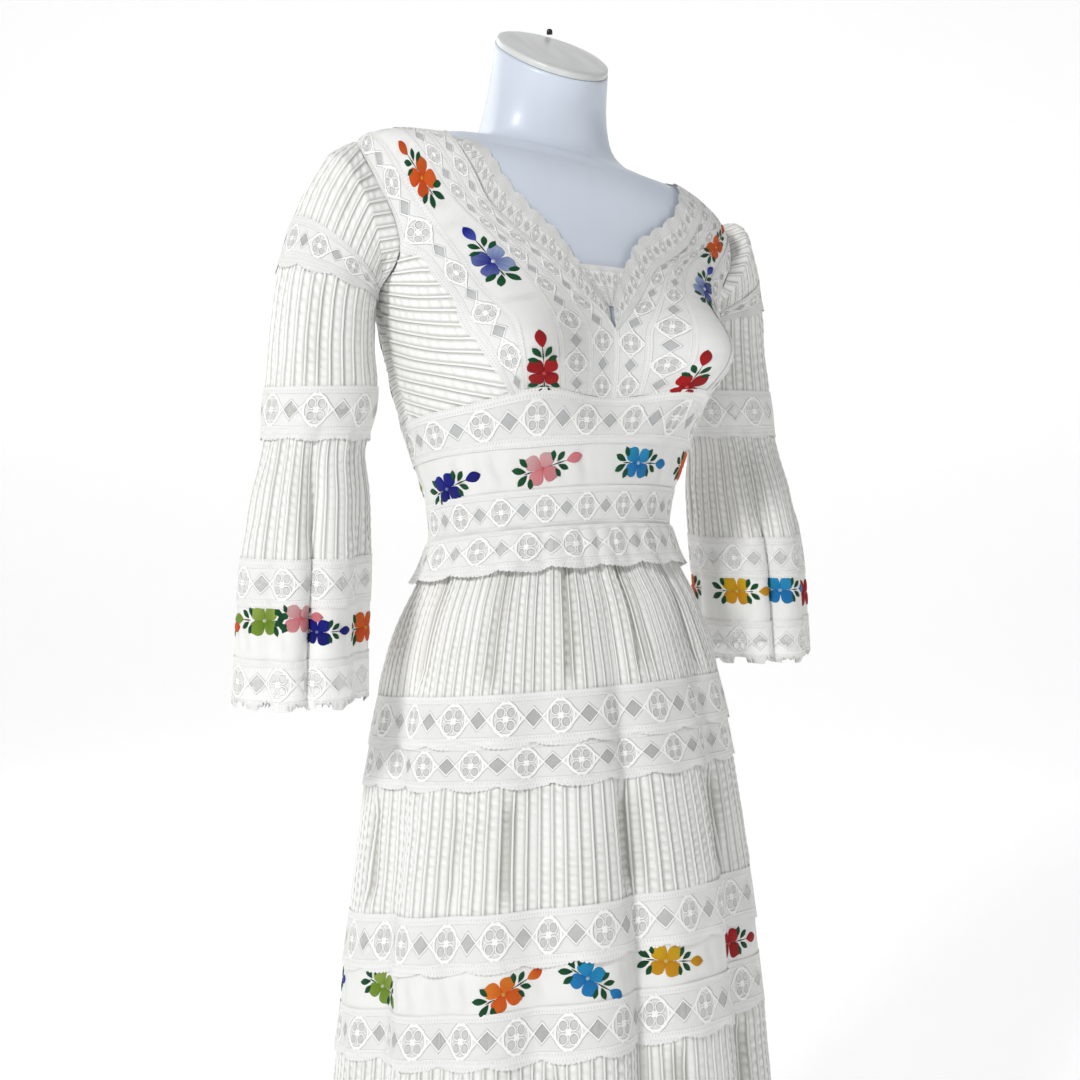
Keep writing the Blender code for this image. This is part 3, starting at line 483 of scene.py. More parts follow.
def measured(place: Surface, closed: bool, centre: tuple[float, float]) -> Strip:
    """Strip whose along share is even in metres at the middle of its width.

    Args:
        place: Point of two shares, of which the first need not be even.
        closed: True where it goes right round.
        centre: x and y that the strip faces away from.

    Returns:
        The strip, with its length and width measured on the surface.
    """
    raw = np.linspace(0, 1, 1441)
    middle = np.full(raw.shape, 0.5)
    line = place(raw, middle)
    run = np.concatenate([[0], np.cumsum(np.linalg.norm(np.diff(line, axis=0), axis=-1))])
    cross = np.linspace(0, 1, 41)
    widths = [np.linalg.norm(np.diff(place(np.full(41, at), cross), axis=0), axis=-1).sum()
              for at in (0.1, 0.5, 0.8)]

    def even(along: Array, across: Array) -> Array:
        whole = np.floor(along) if closed else 0.0
        inside = np.interp(along - whole, run / run[-1], raw)
        return place(inside + (0.0 if closed else np.minimum(along, 0) + np.maximum(along - 1, 0)), across)

    strip = Strip(even, float(run[-1]), float(np.mean(widths)), closed)
    at, half = np.full(1, 0.5), np.full(1, 0.5)
    away = strip.place(at, half)[0] - (*centre, strip.place(at, half)[0, 2])
    facing = 1.0 if float(strip.normal(at, half)[0] @ away) > 0 else -1.0
    return Strip(even, strip.length, strip.width, closed, facing)


def body_strip(high: float, low: float, arched: bool = False) -> Strip:
    """Band of the bodice between two side heights, right round."""

    def place(along: Array, across: Array) -> Array:
        theta = along * 2 * math.pi
        top, bottom = seam_level(theta, high, arched), seam_level(theta, low)
        return bodice_surface(theta, top * (1 - across) + bottom * across)

    return measured(place, True, (0.0, 0.0))


def skirt_strip(high: float, low: float, ripple: float = 0.0) -> Strip:
    """Band of the skirt between two side heights, right round."""

    def place(along: Array, across: Array) -> Array:
        theta, drop = np.broadcast_arrays(along * 2 * math.pi, WAIST_SEAM - high + (high - low) * across)
        return skirt_surface(theta, drop, ripple)

    return measured(place, True, (0.0, 0.0))


def sleeve_strip(side: int, high: float, low: float) -> Strip:
    """Band of a sleeve between two heights, right round."""
    surface = sleeve_surface(side)

    def place(along: Array, across: Array) -> Array:
        phi, drop = np.broadcast_arrays(along * -2 * math.pi * side, SLEEVE_TOP - high + (high - low) * across)
        return surface(phi, drop)

    return measured(place, True, (side * 0.25, 0.02))


def mirrored(theta: Array, side: int) -> Array:
    """The angle itself on the left half, and pi less it on the right."""
    return theta if side > 0 else math.pi - theta


def line_strip(inner: Array, outer: Array, side: int) -> Strip:
    """Strip of the bodice between two lines of (angle, level) with as many points each."""
    knots = np.linspace(0, 1, len(inner))

    def place(along: Array, across: Array) -> Array:
        at = np.clip(along, 0, 1)
        first, last = ([np.interp(at, knots, line[:, k]) for k in (0, 1)] for line in (inner, outer))
        theta = first[0] * (1 - across) + last[0] * across
        level = first[1] * (1 - across) + last[1] * across
        return bodice_surface(mirrored(theta, side), level)

    return measured(place, False, (0.0, 0.0))


def shoulder_strip(key_in: str, key_out: str, side: int) -> Strip:
    """Strip from the front midriff over the shoulder to the back one, between two named lines."""
    ends = key_in != "neck"
    edges = []
    for key in (key_in, key_out):
        front = spaced(seam_line(FRONT_LINES[key], True, ends), 161)
        back = spaced(seam_line(BACK_LINES[key], False, ends), 161)
        edges.append(np.concatenate([front[::-1], back[1:]]))
    return line_strip(edges[0], edges[1], side)


def side_strip(key_in: str, key_out: str, front: bool, side: int) -> Strip:
    """Strip down the front or the back between two named lines."""
    lines = FRONT_LINES if front else BACK_LINES
    first, last = (spaced(seam_line(lines[key], front, True), 161) for key in (key_in, key_out))
    return line_strip(first, last, side)


def panel_strip(front: bool, side: int) -> Strip:
    """Panel under the armhole: a patch filled in from its four edges, down it first and back from the lace next."""
    lines = FRONT_LINES if front else BACK_LINES
    knots = np.linspace(0, 1, 161)
    outer = spaced(seam_line(lines["outer"], front, True), 161)
    start = math.radians(PANEL_START["front" if front else "back"])
    phi = np.linspace(start, math.copysign(math.pi - 1e-4, start), 161)
    angle, level = armhole(phi)
    top = np.stack([angle, level + SEAM_GAP], -1)
    top[0] = outer[0]
    foot = np.array([0.0, seam_level(np.zeros(1), MIDRIFF_TOP, True)[0] - SEAM_GAP])
    bottom_angle = np.linspace(outer[-1, 0], 0.0, 161)
    bottom = np.stack([bottom_angle, seam_level(bottom_angle, MIDRIFF_TOP, True) - SEAM_GAP], -1)

    def place(down: Array, back: Array) -> Array:
        t, c = np.clip(down, 0, 1), np.clip(back, 0, 1)
        pair = []
        for k in (0, 1):
            high, low = np.interp(c, knots, top[:, k]), np.interp(c, knots, bottom[:, k])
            edge, seam = np.interp(t, knots, outer[:, k]), top[-1, k] * (1 - t) + foot[k] * t
            above, below = (edge[0, k] * (1 - c) + edge[-1, k] * c for edge in (top, bottom))
            flat = above * (1 - t) + below * t
            pair.append(high * (1 - t) + low * t + edge * (1 - c) + seam * c - flat)
        return bodice_surface(mirrored(pair[0], side), pair[1])

    return measured(place, False, (0.0, 0.0))


def back_strip() -> Strip:
    """Centre back panel between the two inner lace rows."""
    line = spaced(seam_line(BACK_LINES["panel"], False, True), 161)
    knots = np.linspace(0, 1, 161)
    high = BACK_LINES["edging"][-1][0] + SEAM_GAP
    low = seam_level(np.full(1, math.pi / 2), MIDRIFF_TOP, True)[0] - SEAM_GAP
    middle = high + (low - high) * (line[:, 1] - line[0, 1]) / (line[-1, 1] - line[0, 1])

    def place(down: Array, across: Array) -> Array:
        t = np.clip(down, 0, 1)
        edge_angle, edge_level = (np.interp(t, knots, line[:, k]) for k in (0, 1))
        share = across * 2 - 1
        level = np.interp(t, knots, middle)
        return bodice_surface(math.pi / 2 - (edge_angle - math.pi / 2) * share,
                              level + (edge_level - level) * share ** 2)

    return measured(place, False, (0.0, 0.0))


def modesty_strip() -> Strip:
    """Straight gathered lace across the V, between the two neck edges."""
    knots = np.array(FRONT_LINES["neck"])

    def place(along: Array, across: Array) -> Array:
        level = MODESTY_TOP + (MODESTY_LOW - MODESTY_TOP) * across
        out = through(knots[:, 0], knots[:, 1], level)
        wide, depth, square = (through(FORM[:, 0], FORM[:, k], level) for k in (2, 3, 7))
        y = depth * (1 - np.minimum(out, 1.0) ** square) ** (1 / square)
        half = math.pi / 2 - np.arctan2(y, out * wide) + MODESTY_REACH / MEAN_RADIUS
        theta, level = np.broadcast_arrays(-math.pi / 2 + half * (along * 2 - 1), level)
        return bodice_surface(theta, level)

    return measured(place, False, (0.0, 0.0))

# Meshes


@dataclass(frozen=True)
class Grid:
    """Points of a sheet with rows across the strip and columns along it.

    Attributes:
        points: Rows by columns by 3.
        uv: Rows by columns by 2, with one more column where the grid is closed.
        closed: True where the last column meets the first.
        facing: 1 where the row step crossed with the column step points outwards.
        shade: Rows by columns, from -1 in the creases to 1 on the ridges.
    """

    points: Array
    uv: Array
    closed: bool
    facing: float
    shade: Array | None = None

    def triangles(self) -> tuple[Array, Array]:
        """Corner numbers and corner UVs of both triangles of every cell, wound to face outwards."""
        rows, columns = self.points.shape[:2]
        last = columns if self.closed else columns - 1
        r, c = np.meshgrid(np.arange(rows - 1), np.arange(last), indexing="ij")
        quad = [(r, c), (r + 1, c), (r + 1, c + 1), (r, c + 1)]
        if self.facing < 0:
            quad = quad[::-1]
        index = np.stack([a * columns + b % columns for a, b in quad], -1).reshape(-1, 4)
        uv = np.stack([self.uv[a, b] for a, b in quad], 2).reshape(-1, 4, 2)
        pick = [[0, 1, 2], [0, 2, 3]]
        return index[:, pick].reshape(-1, 3), uv[:, pick].reshape(-1, 3, 2)


def mesh_object(name: str, grids: list[Grid], material: bpy.types.Material, colours: list[Array] | None = None,
                weld: bool = False) -> bpy.types.Object:
    """Object from one or more grids, smooth, at the origin.

    Args:
        name: Name of the piece.
        grids: Its grids, joined into one mesh.
        material: Its finish.
        colours: One array of colours for each grid, kept as the attribute silk.
        weld: True to make points at one place one point, as at a leaf's tip.

    Returns:
        The object, riding on nothing yet.
    """
    points = np.concatenate([grid.points.reshape(-1, 3) for grid in grids])
    starts = np.cumsum([0] + [grid.points.shape[0] * grid.points.shape[1] for grid in grids])
    parts = [grid.triangles() for grid in grids]
    faces = np.concatenate([part[0] + start for part, start in zip(parts, starts)])
    uv = np.concatenate([part[1] for part in parts])
    shade = np.concatenate([
        (np.zeros(grid.points.shape[:2]) if grid.shade is None else grid.shade).reshape(-1) for grid in grids])
    tint = None if colours is None else np.concatenate([colour.reshape(-1, 3) for colour in colours])
    if weld:
        _, first, index = np.unique(np.round(points, 6), axis=0, return_index=True, return_inverse=True)
        faces, points, shade = index.reshape(-1)[faces], points[first], shade[first]
        tint = None if tint is None else tint[first]
    sides = points[faces]
    area = np.linalg.norm(np.cross(sides[:, 1] - sides[:, 0], sides[:, 2] - sides[:, 0]), axis=-1)
    keep = area > 1e-12
    faces, uv = faces[keep], uv[keep]
    used, index = np.unique(faces, return_inverse=True)
    faces, points, shade = index.reshape(-1, 3), points[used], shade[used]
    mesh = bpy.data.meshes.new(name)
    mesh.vertices.add(len(points))
    mesh.vertices.foreach_set("co", points.astype(np.float32).ravel())
    mesh.loops.add(faces.size)
    mesh.loops.foreach_set("vertex_index", faces.astype(np.int32).ravel())
    mesh.polygons.add(len(faces))
    mesh.polygons.foreach_set("loop_start", np.arange(0, faces.size, 3, dtype=np.int32))
    mesh.polygons.foreach_set("use_smooth", np.ones(len(faces), bool))
    mesh.update(calc_edges=True)
    mesh.uv_layers.new(name="cloth").data.foreach_set("uv", uv.astype(np.float32).ravel())
    # painted shade of the cloth, kept per point: dark in the creases, pale on the ridges
    layer = mesh.attributes.new("painted_shade", "FLOAT", "POINT")
    layer.data.foreach_set("value", shade.astype(np.float32))
    if tint is not None:
        layer = mesh.attributes.new("silk", "FLOAT_COLOR", "POINT")
        full = np.concatenate([tint[used], np.ones((len(used), 1))], 1)
        layer.data.foreach_set("color", full.astype(np.float32).ravel())
    mesh.materials.append(material)
    obj = bpy.data.objects.new(name, mesh)
    bpy.context.scene.collection.objects.link(obj)
    LOG.info("%s: %d triangles", name, len(faces))
    return obj


def place_piece(obj: bpy.types.Object, node: str) -> bpy.types.Object:
    """Ride a piece on the one body, in place of its node."""
    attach(obj, "root")
    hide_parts(node)
    return obj


# Shader building


class Field:
    """A number that varies over a surface: a socket that plain arithmetic builds on."""

    def __init__(self, tree: bpy.types.NodeTree, socket: bpy.types.NodeSocket) -> None:
        """Keep the tree and the socket."""
        self.tree, self.socket = tree, socket

    def step(self, operation: str, *others: "Field | float", hold: bool = False) -> "Field":
        """The result of one Math node with this field as its first value.

        Args:
            operation: The node's operation.
            others: Its other values, fields or numbers.
            hold: True to clamp the result to 0 and 1.

        Returns:
            The result as a field.
        """
        node = self.tree.nodes.new("ShaderNodeMath")
        node.operation, node.use_clamp = operation, hold
        for socket, value in zip(node.inputs, (self, *others)):
            if isinstance(value, Field):
                self.tree.links.new(value.socket, socket)
            else:
                socket.default_value = value
        return Field(self.tree, node.outputs[0])

    def __add__(self, other: "Field | float") -> "Field":
        """Sum."""
        return self.step("ADD", other)

    def __sub__(self, other: "Field | float") -> "Field":
        """Difference."""
        return self.step("SUBTRACT", other)

    def __mul__(self, other: "Field | float") -> "Field":
        """Product."""
        return self.step("MULTIPLY", other)

    def __truediv__(self, other: "Field | float") -> "Field":
        """Quotient."""
        return self.step("DIVIDE", other)

    def over(self, limit: "Field | float") -> "Field":
        """1 where it is above the limit, and 0 elsewhere."""
        return self.step("GREATER_THAN", limit)

    def most(self, other: "Field | float") -> "Field":
        """The higher of two."""
        return self.step("MAXIMUM", other)

    def size(self) -> "Field":
        """Its size, without a sign."""
        return self.step("ABSOLUTE")

    def fraction(self) -> "Field":
        """What is left past the whole number below."""
        return self.step("FRACT")

    def wave(self, turns: float) -> "Field":
        """Cosine of this many turns."""
        return (self * (2 * math.pi * turns)).step("COSINE")

    def with_length(self, other: "Field") -> "Field":
        """Length of the vector that two fields make."""
        return (self * self + other * other).step("SQRT")

    def held(self) -> "Field":
        """Clamped to 0 and 1."""
        return self.step("ADD", 0.0, hold=True)

    def line(self, width: float) -> "Field":
        """1 where it is near 0, falling to 0 at width on either side."""
        return ((self.size() * (-1.7 / width)) + 1.7).held()


def new_group(name: str, inputs: dict[str, float | None], outputs: tuple[str, ...]) -> tuple:
    """Start a shader node group.

    Args:
        name: Name of the group.
        inputs: Name and default of each input, None for a vector.
        outputs: Names of its outputs.

    Returns:
        The tree, its input fields by name (a vector as its socket), and its output node.
    """
    tree = bpy.data.node_groups.new(name, "ShaderNodeTree")
    for key, default in inputs.items():
        kind = "NodeSocketVector" if default is None else "NodeSocketFloat"
        socket = tree.interface.new_socket(key, in_out="INPUT", socket_type=kind)
        if default is not None:
            socket.default_value = default
    for key in outputs:
        tree.interface.new_socket(key, in_out="OUTPUT", socket_type="NodeSocketFloat")
    source, sink = tree.nodes.new("NodeGroupInput"), tree.nodes.new("NodeGroupOutput")
    fields = {key: source.outputs[key] if default is None else Field(tree, source.outputs[key])
              for key, default in inputs.items()}
    return tree, fields, sink


def split(tree: bpy.types.NodeTree, vector: bpy.types.NodeSocket) -> tuple[Field, Field]:
    """First and second part of a vector."""
    node = tree.nodes.new("ShaderNodeSeparateXYZ")
    tree.links.new(vector, node.inputs[0])
    return Field(tree, node.outputs[0]), Field(tree, node.outputs[1])


def noise(tree: bpy.types.NodeTree, vector: bpy.types.NodeSocket, scale: float, detail: float = 2.0) -> Field:
    """Soft noise from 0 to 1 at this many cells a unit."""
    node = tree.nodes.new("ShaderNodeTexNoise")
    node.inputs["Scale"].default_value = scale
    node.inputs["Detail"].default_value = detail
    tree.links.new(vector, node.inputs["Vector"])
    return Field(tree, node.outputs["Fac"])


def weave_group() -> bpy.types.NodeTree:
    """Plain weave. Its UV is in metres: height = |cos| of warp and weft in turn, with slubs from long noise."""
    tree, given, sink = new_group("plain_weave", {"UV": None, "Threads": 2400.0}, ("Height", "Slub"))
    u, v = split(tree, given["UV"])
    warp = (u * given["Threads"] * math.pi).step("COSINE").size()
    weft = (v * given["Threads"] * math.pi).step("COSINE").size()
    turn = ((u * given["Threads"]).step("FLOOR") + (v * given["Threads"]).step("FLOOR")).step("MODULO", 2.0).size()
    height = warp * turn + weft * (turn * -1.0 + 1.0)
    stretched = tree.nodes.new("ShaderNodeVectorMath")
    stretched.operation = "MULTIPLY"
    stretched.inputs[1].default_value = (900.0, 60.0, 1.0)
    tree.links.new(given["UV"], stretched.inputs[0])
    slub = noise(tree, stretched.outputs[0], 1.0, 3.0)
    tree.links.new(height.socket, sink.inputs["Height"])
    tree.links.new(slub.socket, sink.inputs["Slub"])
    return tree


def lace_group() -> bpy.types.NodeTree:
    """Lace of medallions and diamonds.

    Its UV counts repeats along the strip and shares of its width across, and Rows lays that many narrow laces
    side by side. A medallion is an ellipse round four ring petals and an eye, a diamond is |u| + |v| = 1, and
    slanted cords run out from the diamond's tips. Net fills the medallion, the diamond and the triangles between,
    and the borders hold rows of small eyelets in cloth stitch.
    """
    tree, given, sink = new_group(
        "lace_motifs", {"UV": None, "Middle": 0.5, "Field": 0.36, "Net": 1.0, "Rows": 1.0},
        ("Cover", "Relief", "White"))
    u, v = split(tree, given["UV"])
    shift = noise(tree, given["UV"], 9.0)
    laid = v * given["Rows"]
    row = laid.step("MINIMUM", given["Rows"] - 0.001).step("MAXIMUM", 0.0).step("FLOOR")
    across = laid - row - given["Middle"] + (shift - 0.5) * 0.02
    side = across.size()
    from_oval = ((u + 0.25 + row * 0.5).fraction() - 0.5).size()
    from_diamond = ((u + 0.75 + row * 0.5).fraction() - 0.5).size()
    oval = (from_oval / 0.235).with_length(across / 0.33)
    petal = ((from_oval - 0.092) / 0.078).with_length((side - 0.135) / 0.112)
    eye = (from_oval / 0.05).with_length(across / 0.065)
    diamond = from_diamond / 0.175 + side / 0.215
    slant = (side - (from_diamond - 0.175) * 1.32) * 0.6
    cords = oval.step("SUBTRACT", 1.0).line(0.15).most((petal - 1.0).line(0.26) * (oval * -1.0 + 1.1).over(0.0))
    cords = cords.most((diamond - 1.0).line(0.20)).most(slant.line(0.040) * from_diamond.over(0.17))
    cords = cords.most(eye.step("LESS_THAN", 1.0))
    inside = side.step("LESS_THAN", given["Field"])
    net = inside * oval.over(1.08) * slant.over(0.0)
    deep = (petal.step("LESS_THAN", 0.90) * 0.55).most(diamond.step("LESS_THAN", 0.95))
    net = net.most(oval.step("LESS_THAN", 0.97)).most(deep)
    border = (side - given["Field"]).line(0.022)
    cords = cords * side.step("LESS_THAN", given["Field"] + 0.01)
    out = (side - given["Field"]) * 9.0
    beside = (u * 18.0 + out.step("FLOOR") * 0.5).fraction() - 0.5
    bead = (beside / 0.40).with_length((out.fraction() - 0.5) / 0.42)
    outside = side.over(given["Field"] + 0.012)
    cords = cords.most(border * 0.35)
    rings = (bead - 1.0).line(0.34) * outside
    net = net.most(bead.step("LESS_THAN", 0.62) * outside * 0.5)
    mesh = ((u * 50.0 + v * 38.0).wave(1.0) + (u * 50.0 - v * 38.0).wave(1.0))
    hole = (mesh * 1.6 + 0.7).held()
    speck = noise(tree, given["UV"], 95.0, 1.0)
    fine = (u * 62.0).wave(1.0) * (v * 52.0).wave(1.0)
    cloth = (fine * 0.35 + speck * 0.9 + 0.05).held()
    gaps = (speck * 5.0 - 2.75).held() * (net * -1.0 + 1.0)
    solid = cords.most(rings).most((net * -1.0 + 1.0) * (gaps * -0.30 + 1.0))
    cover = solid.most((hole * (deep * 0.62 + 0.38) * given["Net"] * -1.0) + 1.0).held()
    relief = cords.most(rings * 0.05) + cloth * 0.28 * (net * -1.0 + 1.0) * (cords * -1.0 + 1.0)
    # painted shade: the open net, its deep holes and the gaps in the cloth stitch are darkened for the shade seen
    # through them; the cords stay white
    white = cords.most((deep * -0.75 + 1.0) * (net * inside * -0.2 + 1.0) * (gaps * -0.3 + 1.0)).held()
    for key, result in (("Cover", cover), ("Relief", relief), ("White", white)):
        tree.links.new(result.socket, sink.inputs[key])
    return tree


class Paint:
    """One material being made, with its Principled shader at hand."""

    def __init__(self, name: str, roughness: float) -> None:
        """Start the material with its roughness."""
        self.material = bpy.data.materials.new(name)
        self.material.use_nodes = True
        self.tree = self.material.node_tree
        self.shader = self.tree.nodes["Principled BSDF"]
        self.shader.inputs["Roughness"].default_value = roughness

    def group(self, tree: bpy.types.NodeTree, uv: bpy.types.NodeSocket, **values: float) -> bpy.types.Node:
        """A group in this material, fed the UV, with its values set."""
        node = self.tree.nodes.new("ShaderNodeGroup")
        node.node_tree = tree
        self.tree.links.new(uv, node.inputs["UV"])
        for key, value in values.items():
            node.inputs[key].default_value = value
        return node

    def uv(self) -> bpy.types.NodeSocket:
        """The piece's own UV map."""
        node = self.tree.nodes.new("ShaderNodeUVMap")
        node.uv_map = "cloth"
        return node.outputs["UV"]

    def place(self) -> bpy.types.NodeSocket:
        """The piece's own coordinates."""
        return self.tree.nodes.new("ShaderNodeTexCoord").outputs["Object"]

    def attribute(self, name: str, output: str = "Fac") -> bpy.types.NodeSocket:
        """A named attribute of the mesh."""
        node = self.tree.nodes.new("ShaderNodeAttribute")
        node.attribute_name = name
        return node.outputs[output]

    def field(self, socket: bpy.types.NodeSocket) -> Field:
        """A socket of this material as a field."""
        return Field(self.tree, socket)

    def mixed(self, low: Colour | bpy.types.NodeSocket, high: Colour | bpy.types.NodeSocket,
              share: Field) -> bpy.types.NodeSocket:
        """Colour between two, by a share."""
        node = self.tree.nodes.new("ShaderNodeMix")
        node.data_type = "RGBA"
        for key, value in (("A", low), ("B", high)):
            socket = [one for one in node.inputs if one.name == key and one.type == "RGBA"][0]
            if isinstance(value, tuple):
                socket.default_value = (*value, 1.0)
            else:
                self.tree.links.new(value, socket)
        self.tree.links.new(share.socket, node.inputs["Factor"])
        return [one for one in node.outputs if one.type == "RGBA"][0]

    def colour(self, socket: bpy.types.NodeSocket) -> None:
        """Feed the base colour."""
        self.tree.links.new(socket, self.shader.inputs["Base Color"])

    def bump(self, height: Field, distance: float, strength: float = 1.0) -> None:
        """Feed the normal from a height in this many metres."""
        node = self.tree.nodes.new("ShaderNodeBump")
        node.inputs["Distance"].default_value = distance
        node.inputs["Strength"].default_value = strength
        self.tree.links.new(height.socket, node.inputs["Height"])
        self.tree.links.new(node.outputs["Normal"], self.shader.inputs["Normal"])


@dataclass(frozen=True)
class CottonFinish:
    """Washed cotton voile: fine plain weave, with painted shade of warm grey in the creases,
    and ridges painted paler, partly for their extra layers of cloth and partly as painted highlight.
    """

    pale: Colour = (0.95, 0.95, 0.935)
    warm: Colour = (0.885, 0.885, 0.855)
    # painted shade: the warm grey laid into the creases
    painted_shade: Colour = (0.50, 0.50, 0.46)
    roughness: float = 0.86
    sheer: float = 0.0

    def material(self, name: str, weave: bpy.types.NodeTree) -> bpy.types.Material:
        """The finish as a material.

        Args:
            name: Name of the material.
            weave: The plain weave group.

        Returns:
            The material.
        """
        paint = Paint(name, self.roughness)
        node = paint.group(weave, paint.uv())
        height, slub = paint.field(node.outputs["Height"]), paint.field(node.outputs["Slub"])
        blotch = noise(paint.tree, paint.place(), 14.0)
        # painted shade per point: below 0 it darkens the creases, above 0 it pales the ridges
        painted_shade = paint.field(paint.attribute("painted_shade"))
        base = paint.mixed(self.warm, self.pale, (blotch * 0.9 + slub * 0.5 - 0.2).held())
        shaded_base = paint.mixed(base, self.painted_shade, (painted_shade * -1.0).held())
        # ridges painted paler, partly for their extra layers of cloth and partly as painted highlight
        paint.colour(paint.mixed(shaded_base, (0.985, 0.985, 0.975), painted_shade.held() * 0.8))
        paint.bump(height * 0.5 + slub * 0.8, 0.00012, 0.7)
        paint.shader.inputs["Sheen Weight"].default_value = 0.15
        if self.sheer:
            threads = (height * self.sheer + (1.0 - self.sheer)).held()
            paint.tree.links.new(threads.socket, paint.shader.inputs["Alpha"])
        return paint.material


@dataclass(frozen=True)
class LaceFinish:
    """Cotton lace: raised cords and cloth stitch, with open net between."""

    white: Colour = (0.97, 0.97, 0.955)
    # painted shade: the grey of the shade seen through the open net
    net_shade: Colour = (0.66, 0.66, 0.635)
    middle: float = 0.5
    border: float = 0.36
    net: float = 0.80
    layers: float = 1.0
    roughness: float = 0.82

    def material(self, name: str, motifs: bpy.types.NodeTree) -> bpy.types.Material:
        """The finish as a material.

        Args:
            name: Name of the material.
            motifs: The lace group.

        Returns:
            The material.
        """
        paint = Paint(name, self.roughness)
        node = paint.group(motifs, paint.uv(), Middle=self.middle, Field=self.border, Net=self.net,
                           Rows=self.layers)
        cover, relief, white = (paint.field(node.outputs[key]) for key in ("Cover", "Relief", "White"))
        blotch = noise(paint.tree, paint.place(), 18.0)
        # painted shade: the net and its holes take the grey, the cords stay white
        paint.colour(paint.mixed(self.net_shade, self.white, (white * 0.85 + blotch * 0.3).held()))
        paint.tree.links.new(cover.socket, paint.shader.inputs["Alpha"])
        paint.bump(relief, 0.0011, 1.0)
        paint.shader.inputs["Sheen Weight"].default_value = 0.15
        return paint.material


@dataclass(frozen=True)
class SilkFinish:
    """Embroidery floss in satin stitch: the thread's own colour, ribbed across the stitches, with a soft gloss.
    Painted shade darkens the grooves between the stitches.
    """

    roughness: float = 0.60

    def material(self, name: str) -> bpy.types.Material:
        """The finish as a material whose UV runs in metres, first across the stitches and then along them."""
        paint = Paint(name, self.roughness)
        uv = paint.uv()
        across, along = split(paint.tree, uv)
        waver = noise(paint.tree, uv, 700.0, 1.0)
        thread = ((across * 1250.0 + waver * 0.9).wave(1.0) * 0.5 + 0.5).held()
        streak = noise(paint.tree, uv, 1500.0, 2.0)
        silk = paint.attribute("silk", "Color")
        # painted shade in the grooves between the stitches, on top of an even darkening and random streaks of tone
        deep = paint.mixed(silk, (0.0, 0.0, 0.0), (thread * -0.46 + streak * 0.26 + 0.30).held())
        paint.colour(deep)
        paint.bump(thread + (along * 250.0).wave(1.0) * 0.08, 0.00036, 1.0)
        paint.shader.inputs["Specular IOR Level"].default_value = 0.25
        return paint.material


@dataclass(frozen=True)
class PlasticFinish:
    """Glossy moulded plastic with faint streaks and soft scuffs."""

    colour: Colour = (0.66, 0.72, 0.81)
    streak: Colour = (0.58, 0.64, 0.735)
    roughness: float = 0.38
    streaky: float = 0.35

    def material(self, name: str) -> bpy.types.Material:
        """The finish as a material."""
        paint = Paint(name, self.roughness)
        place = paint.place()
        stretched = paint.tree.nodes.new("ShaderNodeMapping")
        stretched.inputs["Scale"].default_value = (60.0, 9.0, 9.0)
        paint.tree.links.new(place, stretched.inputs["Vector"])
        streaks = noise(paint.tree, stretched.outputs["Vector"], 1.0, 3.0)
        cloudy = noise(paint.tree, place, 12.0, 3.0)
        paint.colour(paint.mixed(self.colour, self.streak, (streaks * self.streaky).held()))
        rough = cloudy * 0.18 + (self.roughness - 0.06)
        paint.tree.links.new(rough.socket, paint.shader.inputs["Roughness"])
        paint.bump(streaks * self.streaky + cloudy * 0.5, 0.0003, 0.25)
        paint.shader.inputs["Coat Weight"].default_value = 0.12
        paint.shader.inputs["Coat Roughness"].default_value = 0.15
        return paint.material


@dataclass(frozen=True)
class MetalFinish:
    """Satin metal with fine turning lines and a few darker spots."""

    colour: Colour = (0.55, 0.56, 0.58)
    worn: Colour = (0.40, 0.41, 0.43)
    roughness: float = 0.34

    def material(self, name: str) -> bpy.types.Material:
        """The finish as a material."""
        paint = Paint(name, self.roughness)
        paint.shader.inputs["Metallic"].default_value = 1.0
        place = paint.place()
        stretched = paint.tree.nodes.new("ShaderNodeMapping")
        stretched.inputs["Scale"].default_value = (30.0, 30.0, 900.0)
        paint.tree.links.new(place, stretched.inputs["Vector"])
        lines = noise(paint.tree, stretched.outputs["Vector"], 1.0, 2.0)
        spots = noise(paint.tree, place, 35.0, 4.0)
        paint.colour(paint.mixed(self.colour, self.worn, (spots * 2.0 - 0.8).held()))
        rough = lines * 0.16 + spots * 0.12 + (self.roughness - 0.14)
        paint.tree.links.new(rough.socket, paint.shader.inputs["Roughness"])
        paint.bump(lines, 0.00008, 0.5)
        return paint.material


class Finish(Enum):
    """Every finish of the dress and the form."""

    TUCKED = "tucked_cotton"
    BAND = "sheer_cotton_band"
    INSERTION = "lace_insertion"
    EDGING = "lace_edging"
    DOUBLE = "double_lace"
    NARROW = "narrow_lace"
    SILK = "embroidery_floss"
    PLASTIC = "form_plastic"
    CAP = "cap_plastic"
    STEEL = "stand_steel"
    SCREW = "dark_screw"


